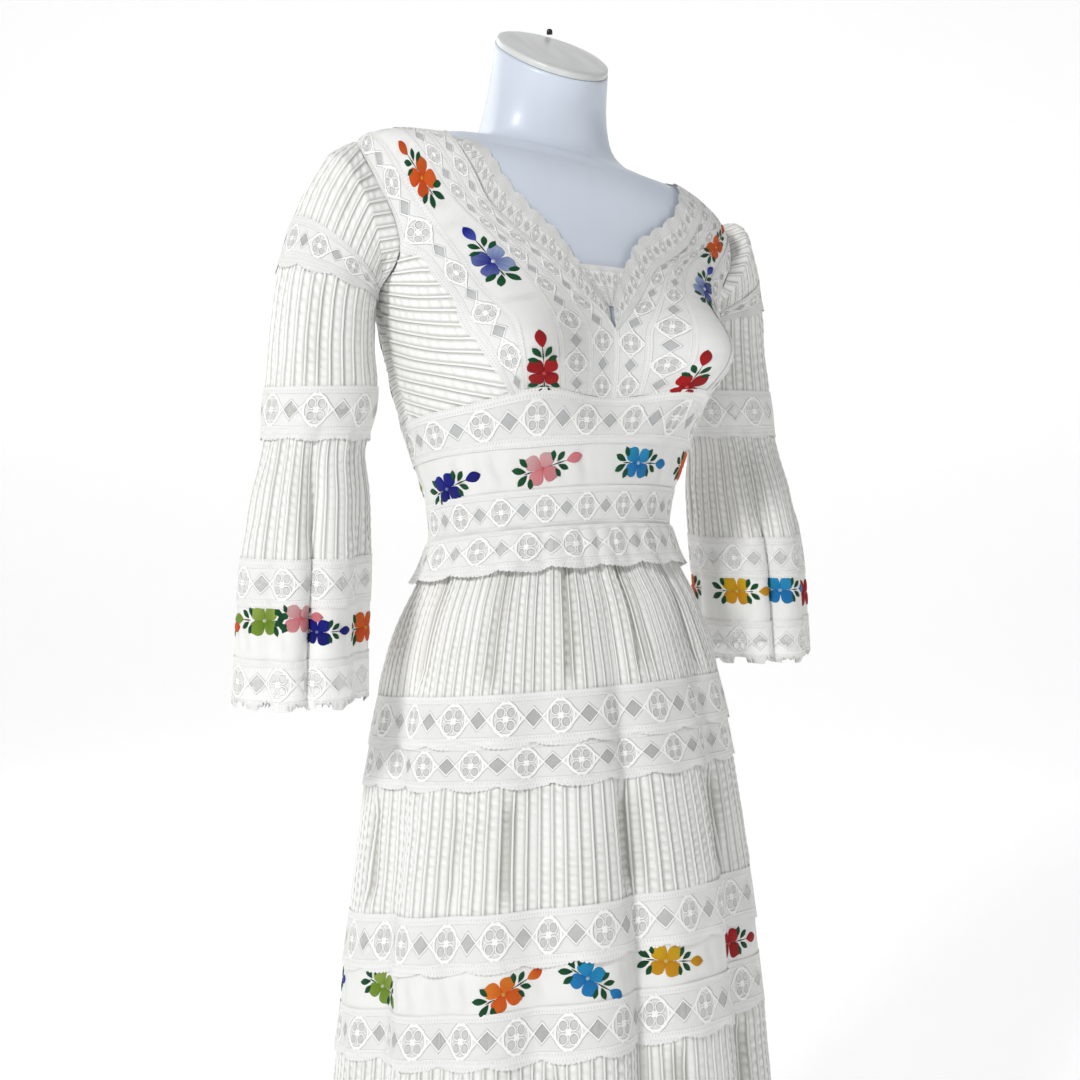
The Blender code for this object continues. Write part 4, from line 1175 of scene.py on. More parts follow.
class Workroom:
    """All materials, each made once."""

    def __init__(self) -> None:
        """Build both cloth groups and every material."""
        weave, motifs = weave_group(), lace_group()
        self.made: dict[Finish, bpy.types.Material] = {
            Finish.TUCKED: CottonFinish().material(Finish.TUCKED.value, weave),
            Finish.BAND: CottonFinish(sheer=0.22).material(Finish.BAND.value, weave),
            Finish.INSERTION: LaceFinish().material(Finish.INSERTION.value, motifs),
            Finish.EDGING: LaceFinish(middle=0.47, border=0.37).material(Finish.EDGING.value, motifs),
            Finish.DOUBLE: LaceFinish(border=0.40, layers=2.0).material(Finish.DOUBLE.value, motifs),
            Finish.NARROW: LaceFinish(middle=0.5, border=0.30, net=0.70).material(Finish.NARROW.value, motifs),
            Finish.SILK: SilkFinish().material(Finish.SILK.value),
            Finish.PLASTIC: PlasticFinish().material(Finish.PLASTIC.value),
            Finish.CAP: PlasticFinish((0.54, 0.56, 0.55), (0.82, 0.83, 0.82), 0.3, 1.0).material(Finish.CAP.value),
            Finish.STEEL: MetalFinish().material(Finish.STEEL.value),
            Finish.SCREW: MetalFinish((0.06, 0.06, 0.07), (0.03, 0.03, 0.03), 0.4).material(Finish.SCREW.value),
        }

    def __getitem__(self, finish: Finish) -> bpy.types.Material:
        """The material of one finish."""
        return self.made[finish]


# Cloth


DRAPE_SHADE = 110.0  # shade for each metre of a trough's depth


@dataclass(frozen=True)
class Tucks:
    """Sewn pin tucks, and the oblique puckers that their thread pulls up between them.

    A tuck's section is given by its knots: share of the pitch, and share of the ridge's height. The cloth
    between tucks rises and falls by pucker * cos(2 pi (metres down / rung + slant * share across)), each tuck
    with a phase of its own, and the whole sheet sways by slow * wander. Soft troughs run down it, drape metres
    deep and about drape_pitch apart, and die out towards both seams.
    """

    pitch: float = 0.0087
    ridge: float = 0.0012
    pucker: float = 0.00050
    rung: float = 0.0098
    slant: float = 0.55
    slow: float = 0.0010
    base: float = 0.0009
    row: float = 0.0024
    drape: float = 0.0
    drape_pitch: float = 0.045
    knots: tuple = ((0.00, -0.12), (0.05, 1.00), (0.15, 0.80), (0.20, -0.20), (0.48, 0.06), (0.76, 0.10))
    swell: tuple = (0.15, 0.10, 0.10, 0.35, 1.00, 0.90)

    def columns(self, length: float, closed: bool, count: int | None = None) -> tuple[Array, Array, Array, Array]:
        """Column places, tuck numbers, ridge heights and pucker shares along a length.

        Args:
            length: Metres to fill.
            closed: True where the last tuck is followed by the first.
            count: Number of tucks, or None to fit the pitch.

        Returns:
            Four arrays with one value for each column.
        """
        total = count or max(2, round(length / self.pitch))
        share, height = np.array(self.knots).T
        index = np.repeat(np.arange(total), len(share))
        at = (index + np.tile(share, total)) / total
        heights, swells = np.tile(height, total), np.tile(np.array(self.swell), total)
        if not closed:
            at, index = np.append(at, 1.0), np.append(index, total - 1)
            heights, swells = np.append(heights, 0.0), np.append(swells, 0.0)
        return at, index, heights, swells

    def relief(self, index: Array, heights: Array, swells: Array, down: Array, length: float,
               share: Array, wide: float) -> tuple[Array, Array]:
        """Lift and painted shade at every row and column.

        Args:
            index: Tuck number of each column.
            heights: Ridge share of each column.
            swells: Pucker share of each column.
            down: Metres along the tucks at each row, as a column vector.
            length: Metres along the tucks in all.
            share: Share along the sheet of each column.
            wide: Metres along the sheet in all.

        Returns:
            Lift in metres, and painted shade from -1 in the creases to 1 on the ridges.
        """
        ends = np.clip(np.minimum(down, length - down) / 0.006, 0.15, 1.0)
        rung = self.rung * (0.85 + 0.3 * scatter(index, 1.0))
        phase = scatter(index, 2.0) * 0.35 + wander(index * 0.31, 3.0) * 0.5
        across = np.where(heights > 0.5, 0.0, swells) * self.slant * np.where(scatter(index, 5.0) > 0.25, 1, -1)
        turns = down / rung + phase + across
        strength = 0.55 + 0.45 * wander(down / 0.031 + index * 0.23, 4.0) + 0.25 * wander(index * 0.9, 6.0)
        puff = np.cos(2 * math.pi * turns) * np.clip(strength, 0.15, 1.3)
        sway = wander(share * 21.0 + down * 17.0, 7.0) * wander(down * 33.0 + share * 9.0, 8.0)
        ridge = self.ridge * heights * (1 + 0.18 * puff) * ends
        lift = self.base + ridge + self.pucker * puff * swells * ends + self.slow * sway
        # painted shade: paler on the ridges, dark in the valleys beside them and in the pucker and drape troughs
        shade = np.where(heights > 0.5, 0.75, 0.0) * ends - np.where(heights < -0.05, 0.85, 0.0)
        shade = shade - swells * np.clip(-puff, 0, 1) * 0.45 * ends
        inner = np.clip(np.minimum(down, length - down) / 0.030, 0.0, 1.0)
        lean = wander(down * 11.0 + share * 5.0, 9.0) * 0.35
        trough = np.clip(wander(share * wide / self.drape_pitch * 2.2 + lean, 10.0) * 1.5 - 0.25, 0, 1) * inner
        hollow = trough ** 2 * (3 - 2 * trough)
        return lift - self.drape * hollow, shade - DRAPE_SHADE * self.drape * hollow


@dataclass(frozen=True)
class Scallop:
    """A wavy lace edge: one arc for each repeat, with small picots along it.

    Its reach past the seam is depth * |cos(pi u)|^0.7 plus picot * |cos(pi picots u)|, u counting repeats.
    """

    depth: float = 0.010
    picot: float = 0.0013
    picots: int = 12

    def reach(self, repeats: Array) -> Array:
        """Metres past the seam at each place, counted in repeats."""
        arc = np.abs(np.cos(math.pi * (repeats - 0.25))) ** 0.7
        return self.depth * arc + self.picot * np.abs(np.cos(math.pi * self.picots * repeats))


def tucked_round(strip: Strip, tucks: Tucks, count: int | None = None, over: float = 0.0006) -> Grid:
    """Sheet with tucks down it, one column for each knot of each tuck.

    Args:
        strip: The strip that it lies on.
        tucks: Its tucks.
        count: Number of tucks, or None to fit the pitch.
        over: Metres that it runs past both seams.

    Returns:
        The grid.
    """
    at, index, heights, swells = tucks.columns(strip.length, strip.closed, count)
    rows = max(4, round(strip.width / tucks.row))
    reach = over / strip.width
    across = np.linspace(-reach, 1 + reach, rows)[:, None]
    lift, shade = tucks.relief(index, heights, swells, across * strip.width, strip.width, at, strip.length)
    along, down = np.broadcast_arrays(at[None, :], across)
    points = strip.lifted(along, down, lift)
    ends = np.append(at, 1.0) if strip.closed else at
    uv = np.stack(np.broadcast_arrays(ends[None, :] * strip.length, across * strip.width), -1)
    return Grid(points, uv, strip.closed, strip.facing, shade)


def tucked_rows(strip: Strip, tucks: Tucks, slope: float, columns: int) -> Grid:
    """Sheet with tucks across it: row r of column c lies at r * (1 + |slope|) less slope * c.

    Args:
        strip: The strip, running down.
        tucks: Its tucks.
        slope: Rise of a tuck from one side of the sheet to the other, as a share of its length.
        columns: Number of points along each tuck.

    Returns:
        The grid, with rows along the tucks' pitch turned into its columns.
    """
    at, index, heights, swells = tucks.columns(strip.length * (1 + abs(slope)), False)
    c = np.linspace(0, 1, columns)[:, None]
    down = at[None, :] * (1 + abs(slope)) - (slope * c if slope > 0 else -slope * (1 - c))
    inside = np.clip(down, 0.0, 1.0)
    lift, shade = tucks.relief(index, heights, swells, c * strip.width, strip.width, at, strip.length)
    held = np.where((down < 0) | (down > 1), tucks.base, lift)
    along, across = np.broadcast_arrays(inside, c)
    points = strip.lifted(along, across, held)
    uv = np.stack([along * strip.length, across * strip.width], -1)
    return Grid(points, uv, False, strip.facing, shade)


def plain_sheet(strip: Strip, lift: float = 0.0012, wrinkle: float = 0.0005, step: float = 0.004,
                over: float = 0.0006) -> Grid:
    """Smooth sheet with soft wrinkles across it.

    Args:
        strip: The strip that it lies on.
        lift: Its height over the strip.
        wrinkle: Size of its wrinkles, wander of the place along times wander across.
        step: Distance between points.
        over: Metres that it runs past both seams.

    Returns:
        The grid.
    """
    columns = round(strip.length / step)
    at = np.arange(columns) / columns if strip.closed else np.linspace(0, 1, columns)
    rows = max(5, round(strip.width / step))
    reach = over / strip.width
    across = np.linspace(-reach, 1 + reach, rows)[:, None]
    turns = round(strip.length / 0.024)
    sway = np.sin(2 * math.pi * at * turns + wander(across * 2.0, 2.0) * 1.5) * wander(at * 40.0, 3.0)
    bulge = np.sin(math.pi * np.clip(across, 0, 1))
    along, down = np.broadcast_arrays(at[None, :], across)
    points = strip.lifted(along, down, lift + wrinkle * sway * bulge)
    ends = np.append(at, 1.0) if strip.closed else at
    uv = np.stack(np.broadcast_arrays(ends[None, :] * strip.length, across * strip.width), -1)
    # shade: painted shade in the hollows of the soft wrinkles
    return Grid(points, uv, strip.closed, strip.facing, -0.35 * np.clip(-sway * bulge, 0, 1))


@dataclass(frozen=True)
class Lace:
    """A lace row: how far it laps its seams, how high it lies, and the scallops on either edge.

    Attributes:
        repeat: Metres of one medallion and one diamond.
        lap: Metres past each seam, above and below.
        lift: Height over the strip, above and below.
        edge: Scallops of the lower edge, or None where it is straight.
        top_edge: Scallops of the upper edge.
        rows: Rows of points across.
        flute: Size of the soft waves of a loose edge.
    """

    repeat: float = 0.052
    lap: tuple[float, float] = (0.0022, 0.0022)
    lift: tuple[float, float] = (0.0021, 0.0021)
    edge: Scallop | None = None
    top_edge: Scallop | None = None
    rows: int = 8
    flute: float = 0.0004

    def grid(self, strip: Strip) -> Grid:
        """The row as a grid on its strip, its UV counting repeats along and shares of the strip across."""
        repeats = max(1, round(strip.length / self.repeat))
        fine = self.edge or self.top_edge
        columns = repeats * (fine.picots * 4 if fine else 14)
        at = np.arange(columns) / columns if strip.closed else np.linspace(0, 1, columns)
        none = np.zeros(at.shape)
        above = self.lap[0] + (self.top_edge.reach(at * repeats) if self.top_edge else none)
        below = self.lap[1] + (self.edge.reach(at * repeats) if self.edge else none)
        r = np.linspace(0, 1, self.rows)[:, None] ** 0.85
        across = (-above / strip.width) * (1 - r) + (1 + below / strip.width) * r
        down = np.clip(across, 0, 1.4)
        wave = np.cos(2 * math.pi * at * repeats) + wander(at * repeats * 1.7, 5.0)
        loose = (down ** 2 if self.edge else 0.0) + ((1 - down) ** 2 if self.top_edge else 0.0)
        lift = self.lift[0] + (self.lift[1] - self.lift[0]) * down + self.flute * (wave * loose + 0.4 * wave)
        along = np.broadcast_to(at[None, :], across.shape)
        points = strip.lifted(along, across, lift)
        ends = np.append(at, 1.0) if strip.closed else at
        wide = np.concatenate([across, across[:, :1]], 1) if strip.closed else across
        uv = np.stack(np.broadcast_arrays(ends[None, :] * repeats, wide), -1)
        return Grid(points, uv, strip.closed, strip.facing)


# Embroidery


class Silk(Enum):
    """Flower colours: the petals' root, their tip, the bud and the eye."""

    ORANGE = ((0.86, 0.10, 0.01), (0.93, 0.16, 0.02), (0.93, 0.16, 0.02), (0.93, 0.42, 0.03))
    GOLD_ORANGE = ((0.90, 0.12, 0.01), (0.98, 0.26, 0.02), (0.98, 0.24, 0.02), (0.90, 0.50, 0.10))
    BLUE = ((0.004, 0.008, 0.34), (0.42, 0.53, 0.84), (0.10, 0.16, 0.70), (0.75, 0.80, 0.90))
    RED = ((0.42, 0.005, 0.008), (0.62, 0.006, 0.010), (0.58, 0.006, 0.010), (0.75, 0.12, 0.10))
    PINK = ((0.93, 0.27, 0.30), (0.90, 0.52, 0.54), (0.93, 0.30, 0.33), (0.85, 0.20, 0.24))
    NAVY = ((0.004, 0.006, 0.20), (0.008, 0.014, 0.34), (0.006, 0.010, 0.28), (0.25, 0.30, 0.62))
    AZURE = ((0.010, 0.22, 0.62), (0.022, 0.40, 0.76), (0.016, 0.34, 0.72), (0.45, 0.66, 0.85))
    YELLOW = ((0.82, 0.34, 0.008), (0.90, 0.54, 0.012), (0.88, 0.46, 0.010), (0.93, 0.72, 0.25))
    LIME = ((0.20, 0.36, 0.02), (0.40, 0.54, 0.10), (0.26, 0.42, 0.03), (0.80, 0.86, 0.60))
    PALE_LIME = ((0.42, 0.55, 0.14), (0.78, 0.84, 0.56), (0.30, 0.46, 0.04), (0.86, 0.90, 0.70))


LEAF = ((0.002, 0.062, 0.020), (0.005, 0.118, 0.036))

# Satin pads of one motif: kind, x, y, turn in degrees, length, width, all in millimetres from the eye
MOTIF = (
    ("petal", 0.0, 0.0, 45.0, 18.0, 15.6), ("petal", 0.0, 0.0, 137.0, 17.0, 14.8),
    ("petal", 0.0, 0.0, 226.0, 18.0, 15.6), ("petal", 0.0, 0.0, 315.0, 17.0, 14.8),
    ("eye", -2.2, 0.0, 0.0, 4.4, 4.2),
    ("leaf", -11.0, 3.2, 116.0, 13.0, 6.4), ("leaf", -15.0, 1.2, 150.0, 14.5, 6.6),
    ("leaf", -15.0, -1.6, 206.0, 14.5, 6.6), ("leaf", -11.0, -3.6, 243.0, 13.0, 6.4),
    ("leaf", 11.0, 2.4, 66.0, 12.0, 6.0), ("leaf", 16.0, 1.4, 38.0, 11.5, 5.6),
    ("leaf", 11.0, -2.6, -66.0, 12.0, 6.0), ("leaf", 16.0, -1.8, -38.0, 11.5, 5.6),
    ("stem", 8.0, 0.0, 0.0, 18.0, 1.4), ("stem", -9.0, 0.0, 180.0, 9.0, 1.4),
    ("bud", 24.5, 0.0, 0.0, 16.5, 10.2),
)
PAD_HEIGHT = {"petal": 0.0011, "eye": 0.0019, "leaf": 0.0009, "stem": 0.0005, "bud": 0.0012}
PAD_GRID = {"petal": (9, 10), "eye": (5, 6), "leaf": (6, 7), "stem": (3, 4), "bud": (9, 9)}


@dataclass(frozen=True)
class Flower:
    """One motif: its place on a strip, its colours, its size, and which way its bud lies.

    Attributes:
        along: Share along the strip of its eye.
        across: Share across the strip.
        silk: Colours.
        bud: 1 where the bud lies towards the strip's end, -1 towards its start.
        turn: Extra turn in degrees.
        size: Share of the usual size.
    """

    along: float
    across: float
    silk: Silk
    bud: int = 1
    turn: float = 0.0
    size: float = 1.0


def pad_outline(kind: str, t: Array) -> Array:
    """Share of a pad's full width at share t of its length: a power of sin(pi t^k), pointed or round by its kind."""
    bend, power = {"petal": (1.45, 0.62), "eye": (1.0, 0.50), "leaf": (1.25, 0.75), "stem": (1.0, 0.15),
                   "bud": (1.15, 0.72)}[kind]
    return np.sin(math.pi * np.clip(t, 1e-4, 1 - 1e-4) ** bend) ** power


def pad_grid(strip: Strip, flower: Flower, row: tuple, seat: float) -> tuple[Grid, Array]:
    """One satin pad laid on its strip.

    Its points are x = t * length and y = s * width / 2 * outline(t), turned and moved to its place, and its height
    is h * (1 - s^2)^0.5 * sin(pi t)^0.4.

    Args:
        strip: The band under it.
        flower: The motif that it belongs to.
        row: Its line of the motif's table.
        seat: Height of the band's outer face over the strip.

    Returns:
        The grid, and its colours.
    """
    kind, x, y, turn, length, width = row
    rows, columns = PAD_GRID[kind]
    t = np.linspace(0, 1, rows)[:, None]
    s = np.linspace(-1, 1, columns)[None, :]
    jitter = 1 + 0.09 * (scatter(np.float64(flower.along * 997 + turn), 3.0) - 0.5)
    long, half = length * jitter, width / 2 * pad_outline(kind, t)
    a, b = t * long, s * half
    angle = math.radians(turn)
    p = x + a * math.cos(angle) - b * math.sin(angle)
    q = y + a * math.sin(angle) + b * math.cos(angle)
    extra = math.radians(flower.turn)
    p, q = p * math.cos(extra) - q * math.sin(extra), p * math.sin(extra) + q * math.cos(extra)
    scale = flower.size / 1000
    along = flower.along + p * flower.bud * scale / strip.length
    across = flower.across + q * scale / strip.width
    dome = np.sqrt(np.clip(1 - s * s, 0, 1)) * np.sin(math.pi * np.clip(t, 0.02, 0.98)) ** 0.4
    points = strip.lifted(along, across, seat + PAD_HEIGHT[kind] * dome)
    uv = np.stack(np.broadcast_arrays(b, a), -1) / 1000
    root, tip, bud, eye = flower.silk.value
    ends = {"petal": (root, tip), "eye": (eye, eye), "leaf": LEAF, "stem": (LEAF[0], LEAF[0]),
            "bud": (bud, root)}
    low, high = (np.array(colour) for colour in ends[kind])
    if kind == "petal":
        mid = (low * 2 + high) / 3
        low, high = (mid, high) if turn > 180 else (low, mid)
    share = np.clip(t * 1.25 + 0.10 * np.cos(s * 9), 0, 1)[..., None]
    colour = low * (1 - share) + high * share
    facing = strip.facing * flower.bud
    grid = Grid(points, uv, False, facing)
    return grid, colour


def embroider(name: str, strip: Strip, flowers: list[Flower], node: str, room: Workroom,
              seat: float = 0.0013) -> None:
    """Sew every motif of one band as one piece of floss.

    Args:
        name: Name of the piece.
        strip: The band.
        flowers: Its motifs.
        node: Name of the band, for the log.
        room: The materials.
        seat: Height of the band's outer face over the strip.
    """
    pads = [pad_grid(strip, flower, row, seat) for flower in flowers for row in MOTIF]
    piece = mesh_object(name, [pad[0] for pad in pads], room[Finish.SILK], [pad[1] for pad in pads])
    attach(piece, "root")
    LOG.info("%s: %d motifs on %s", name, len(flowers), node)


def filled(known: list[Flower], spacing: float, silks: tuple[Silk, ...]) -> list[Flower]:
    """The motifs seen in the photo, with more of them wherever the band round it is bare.

    Args:
        known: Motifs with their places, on a band that goes right round.
        spacing: Usual share of the band from one motif to the next.
        silks: Colours for the added motifs, taken in turn.

    Returns:
        All motifs.
    """
    placed = sorted(known, key=lambda one: one.along)
    extra: list[Flower] = []
    for first, second in zip(placed, placed[1:] + [placed[0]]):
        gap = (second.along - first.along) % 1.0 or 1.0
        count = max(0, round(gap / spacing) - 1)
        for k in range(count):
            at = (first.along + gap * (k + 1) / (count + 1)) % 1.0
            across = 0.42 + 0.2 * float(scatter(np.float64(k), at))
            extra.append(Flower(at, across, silks[len(extra) % len(silks)], first.bud, 4.0 * (k % 3 - 1)))
    return placed + extra


# The dress and the form


@dataclass
class DressForm:
    """The headless moulded form on its stand: torso, neck cap with its screw, pole and round base.

    Attributes:
        sides: Points round the torso.
        rings: Rings down the torso.
        cap_height: Height of the neck cap.
        screw: Radius and height of the screw.
        screw_place: Its x and y.
        base_radius: Radius of the base.
        base_height: Its height.
        pole_radius: Radius of the pole.
    """

    room: Workroom
    sides: int = 144
    rings: int = 120
    cap_height: float = 0.0072
    screw: tuple[float, float] = (0.003, 0.005)
    screw_place: tuple[float, float] = (0.0235, 0.040)
    base_radius: float = 0.17
    base_height: float = 0.014
    pole_radius: float = 0.0127

    def revolved(self, name: str, rings: Array, finish: Finish, node: str) -> None:
        """Make one closed piece from rings, the first and last of them shrunk to a point.

        Args:
            name: Name of the piece.
            rings: Rings by points round by 3, from the top down.
            finish: Its finish.
            node: CAD node that it stands for.
        """
        u = np.arange(rings.shape[1] + 1) / rings.shape[1]
        v = np.linspace(0, 1, len(rings))[:, None]
        uv = np.stack(np.broadcast_arrays(u[None, :], v), -1)
        piece = mesh_object(f"{name}_surface", [Grid(rings, uv, True, 1.0)], self.room[finish], weld=True)
        place_piece(piece, node)

    def turned(self, name: str, profile: tuple, finish: Finish,
               centre: tuple[float, float] = (0.0, 0.0), sides: int = 64, hexagon: int = 0) -> None:
        """Turn a profile of (radius, height) from the top down, its first hexagon rows drawn as a hexagon."""
        theta = np.arange(sides) / sides * 2 * math.pi
        flat = math.cos(math.pi / 6) / np.cos((theta + math.pi / 6) % (math.pi / 3) - math.pi / 6)
        rows = []
        for k, (radius, height) in enumerate(profile):
            reach = radius * (flat if k < hexagon else np.ones(sides))
            rows.append(np.stack([centre[0] + reach * np.cos(theta), centre[1] + reach * np.sin(theta),
                                  np.full(sides, height)], -1))
        self.revolved(name, np.array(rows), finish, name)

    def torso(self) -> None:
        """The torso: form rings whose top and bottom are closed by ever smaller rings."""
        theta = np.arange(self.sides) / self.sides * 2 * math.pi
        levels = np.linspace(FORM[0, 0], FORM[-1, 0], self.rings)
        body = form_surface(*np.meshgrid(theta, levels), CUP["slack"])
        shrink = np.array([0.0, 0.45, 0.85, 0.98])[:, None, None]
        top = body[0].mean(0) * (1 - shrink) + body[0] * shrink
        low = body[-1].mean(0) * (1 - shrink[::-1]) + body[-1] * shrink[::-1]
        self.revolved("form_torso", np.concatenate([top, body, low]), Finish.PLASTIC, "form_torso")

    def cap(self) -> None:
        """The flat neck cap: the neck's top ring, raised along its own slanted normal, with a soft edge."""
        theta = np.arange(self.sides) / self.sides * 2 * math.pi
        rim = form_surface(theta, np.full(self.sides, FORM[0, 0]), CUP["slack"])
        middle = rim.mean(0)
        up = np.array([0.0, -FORM[0, 5], 1.0]) / math.hypot(FORM[0, 5], 1.0)
        ends = ((0.0, 1.0), (0.5, 1.0), (0.85, 0.98), (0.94, 0.92), (0.974, 0.82), (0.984, 0.6), (0.986, 0.12),
                (0.984, 0.06), (0.5, 0.055), (0.0, 0.055))
        rings = [middle + (rim - middle) * share + up * self.cap_height * rise for share, rise in ends]
        self.revolved("neck_cap", np.array(rings), Finish.CAP, "neck_cap")

    def stand(self) -> None:
        """The screw with its hexagon socket, the pole, and the domed base."""
        radius, height = self.screw
        tip = FORM[0, 1] + FORM[0, 5] * self.screw_place[1] + self.cap_height / math.hypot(FORM[0, 5], 1.0)
        foot = tip + 0.0045
        self.turned("cap_screw", ((0.0, foot + height * 0.55), (radius * 0.5, foot + height * 0.55),
                                  (radius * 0.5, foot + height * 0.95), (radius * 0.7, foot + height),
                                  (radius * 0.95, foot + height * 0.8), (radius, foot + height * 0.55),
                                  (radius, foot), (0.0, foot)), Finish.SCREW, self.screw_place, 24, 3)
        top, r, low = float(FORM[-1, 1]) - 0.0004, self.pole_radius, self.base_height + 0.0004
        self.turned("stand_pole", ((0.0, top), (r * 0.9, top), (r, top - 0.002), (r, low + 0.046),
                                   (r, low + 0.001), (r * 0.94, low), (0.0, low)),
                    Finish.STEEL, sides=32)
        wide, tall = self.base_radius, self.base_height
        edge = [(wide - 0.003 + 0.003 * math.sin(a), tall * 0.45 + tall * 0.27 * math.cos(a))
                for a in np.linspace(0, math.pi / 2, 6)]
        self.turned("stand_base", ((0.0, tall), (wide * 0.2, tall), (wide * 0.6, tall * 0.87), *edge,
                                   (wide, 0.0012), (wide - 0.0012, 0.0), (0.0, 0.0)), Finish.STEEL,
                    sides=96)

    def build(self) -> None:
        """Every piece of the form."""
        self.torso()
        self.cap()
        self.stand()


@dataclass
class Garment:
    """What the parts of the dress share: the materials, and how a piece of cloth is made from a grid."""

    room: Workroom

    def sew(self, node: str, grid: Grid, finish: Finish, rests_on: list[str], held: str = "hung") -> None:
        """Make one cloth piece and name it after its node."""
        piece = place_piece(mesh_object(f"{node}_sewn", [grid], self.room[finish]), node)


SCALLOPED = Scallop(0.0050, 0.0015, 12)


@dataclass
class Bodice(Garment):
    """The V-necked bodice: neck lace, lace rows, embroidered straps and tucked panels."""

    panel: Tucks = field(default_factory=lambda: Tucks(pitch=0.0090, ridge=0.0011, pucker=0.00055, rung=0.0085,
                                                       slow=0.0005, row=0.003))
    fan: Tucks = field(default_factory=lambda: Tucks(pitch=0.0130, ridge=0.0017, pucker=0.00080, rung=0.0105,
                                                     slow=0.0010, row=0.003))
    fan_slope: float = 0.42
    back_slope: float = 0.06

    def half(self, side: int) -> None:
        """One half of the bodice. Its strips start at the front midriff and go over the shoulder."""
        hand = "left" if side > 0 else "right"
        on = ["form_torso"]
        neck = Lace(repeat=0.021, lift=(0.0016, 0.0021), top_edge=Scallop(0.0030, 0.0008, 3), rows=6,
                    flute=0.0003)
        self.sew(f"neck_lace_{hand}", neck.grid(shoulder_strip("neck", "edging", side)), Finish.NARROW, on)
        inner = Lace(repeat=0.040, lap=(0.002, 0.001), lift=(0.0016, 0.0016), rows=14)
        self.sew(f"lace_inner_{hand}", inner.grid(shoulder_strip("inner", "strap_in", side)), Finish.DOUBLE, on)
        strap = shoulder_strip("strap_in", "strap_out", side)
        self.sew(f"strap_band_{hand}", plain_sheet(strap), Finish.BAND, on)
        outer = Lace(repeat=0.050, lift=(0.0018, 0.0022), edge=Scallop(0.0034, 0.0009, 12), rows=8)
        self.sew(f"lace_outer_front_{hand}", outer.grid(side_strip("strap_out", "rim", True, side)),
                 Finish.EDGING, on)
        self.sew(f"lace_outer_back_{hand}", outer.grid(side_strip("strap_out", "rim", False, side)),
                 Finish.EDGING, on)
        self.sew(f"side_front_{hand}", tucked_rows(panel_strip(True, side), self.fan, self.fan_slope, 44),
                 Finish.TUCKED, on)
        self.sew(f"side_back_{hand}", tucked_rows(panel_strip(False, side), self.panel, self.back_slope, 26),
                 Finish.TUCKED, on)
        embroider(f"flowers_strap_{hand}", strap, self.flowers(side), f"strap_band_{hand}", self.room)

    def flowers(self, side: int) -> list[Flower]:
        """Motifs of one strap, from the front midriff up and over to the back."""
        if side < 0:
            front = [Flower(0.032, 0.53, Silk.RED), Flower(0.219, 0.42, Silk.BLUE),
                     Flower(0.361, 0.46, Silk.ORANGE)]
        else:
            front = [Flower(0.012, 0.26, Silk.RED), Flower(0.236, 0.74, Silk.BLUE),
                     Flower(0.346, 0.26, Silk.ORANGE)]
        back = [Flower(0.555, 0.45, Silk.AZURE), Flower(0.690, 0.50, Silk.YELLOW), Flower(0.825, 0.45, Silk.PINK),
                Flower(0.950, 0.50, Silk.NAVY)]
        return front + back

    def build(self) -> None:
        """Both halves, the lace across the V and the centre back."""
        for side in (1, -1):
            self.half(side)
        modesty = Lace(repeat=0.012, lap=(0.0, 0.014), lift=(0.0008, 0.0008), rows=8, flute=0.0007)
        self.sew("modesty_lace", modesty.grid(modesty_strip()), Finish.NARROW, ["form_torso"], "gathered")
        self.sew("centre_back", tucked_rows(back_strip(), self.panel, 0.0, 60), Finish.TUCKED, ["form_torso"])


@dataclass
class Waist(Garment):
    """The arched midriff lace, the embroidered band, the waist lace and the flounce over the skirt's gathers."""

    def flowers(self) -> list[Flower]:
        """Motifs of the band: three seen in the photo, and more round to the back."""
        seen = [Flower(0.521, 0.72, Silk.NAVY, turn=-12.0), Flower(0.652, 0.54, Silk.PINK, turn=-15.0),
                Flower(0.791, 0.48, Silk.AZURE)]
        return filled(seen, 0.132, (Silk.ORANGE, Silk.RED, Silk.YELLOW, Silk.BLUE, Silk.PALE_LIME))

    def build(self) -> None:
        """The four rounds, from the top down."""
        on = ["form_torso"]
        self.sew("midriff_lace", Lace().grid(body_strip(MIDRIFF_TOP, BAND_TOP, True)), Finish.INSERTION, on)
        band = body_strip(BAND_TOP, BAND_LOW)
        self.sew("waist_band", plain_sheet(band), Finish.BAND, on)
        embroider("flowers_waist", band, self.flowers(), "waist_band", self.room)
        waist = Lace(repeat=0.041, lift=(0.0021, 0.0032), edge=Scallop(0.0036, 0.0014, 10))
        self.sew("waist_lace", waist.grid(body_strip(BAND_LOW, WAIST_SEAM)), Finish.EDGING, on)
        flounce = Lace(repeat=0.046, lap=(0.001, 0.0), lift=(0.0050, 0.0075), rows=10, flute=0.0011,
                       edge=Scallop(0.0048, 0.0015, 11))
        self.sew("waist_flounce", flounce.grid(skirt_strip(WAIST_SEAM, FLOUNCE_LOW, 0.35)), Finish.EDGING,
                 ["skirt_tier_1"], "gathered")


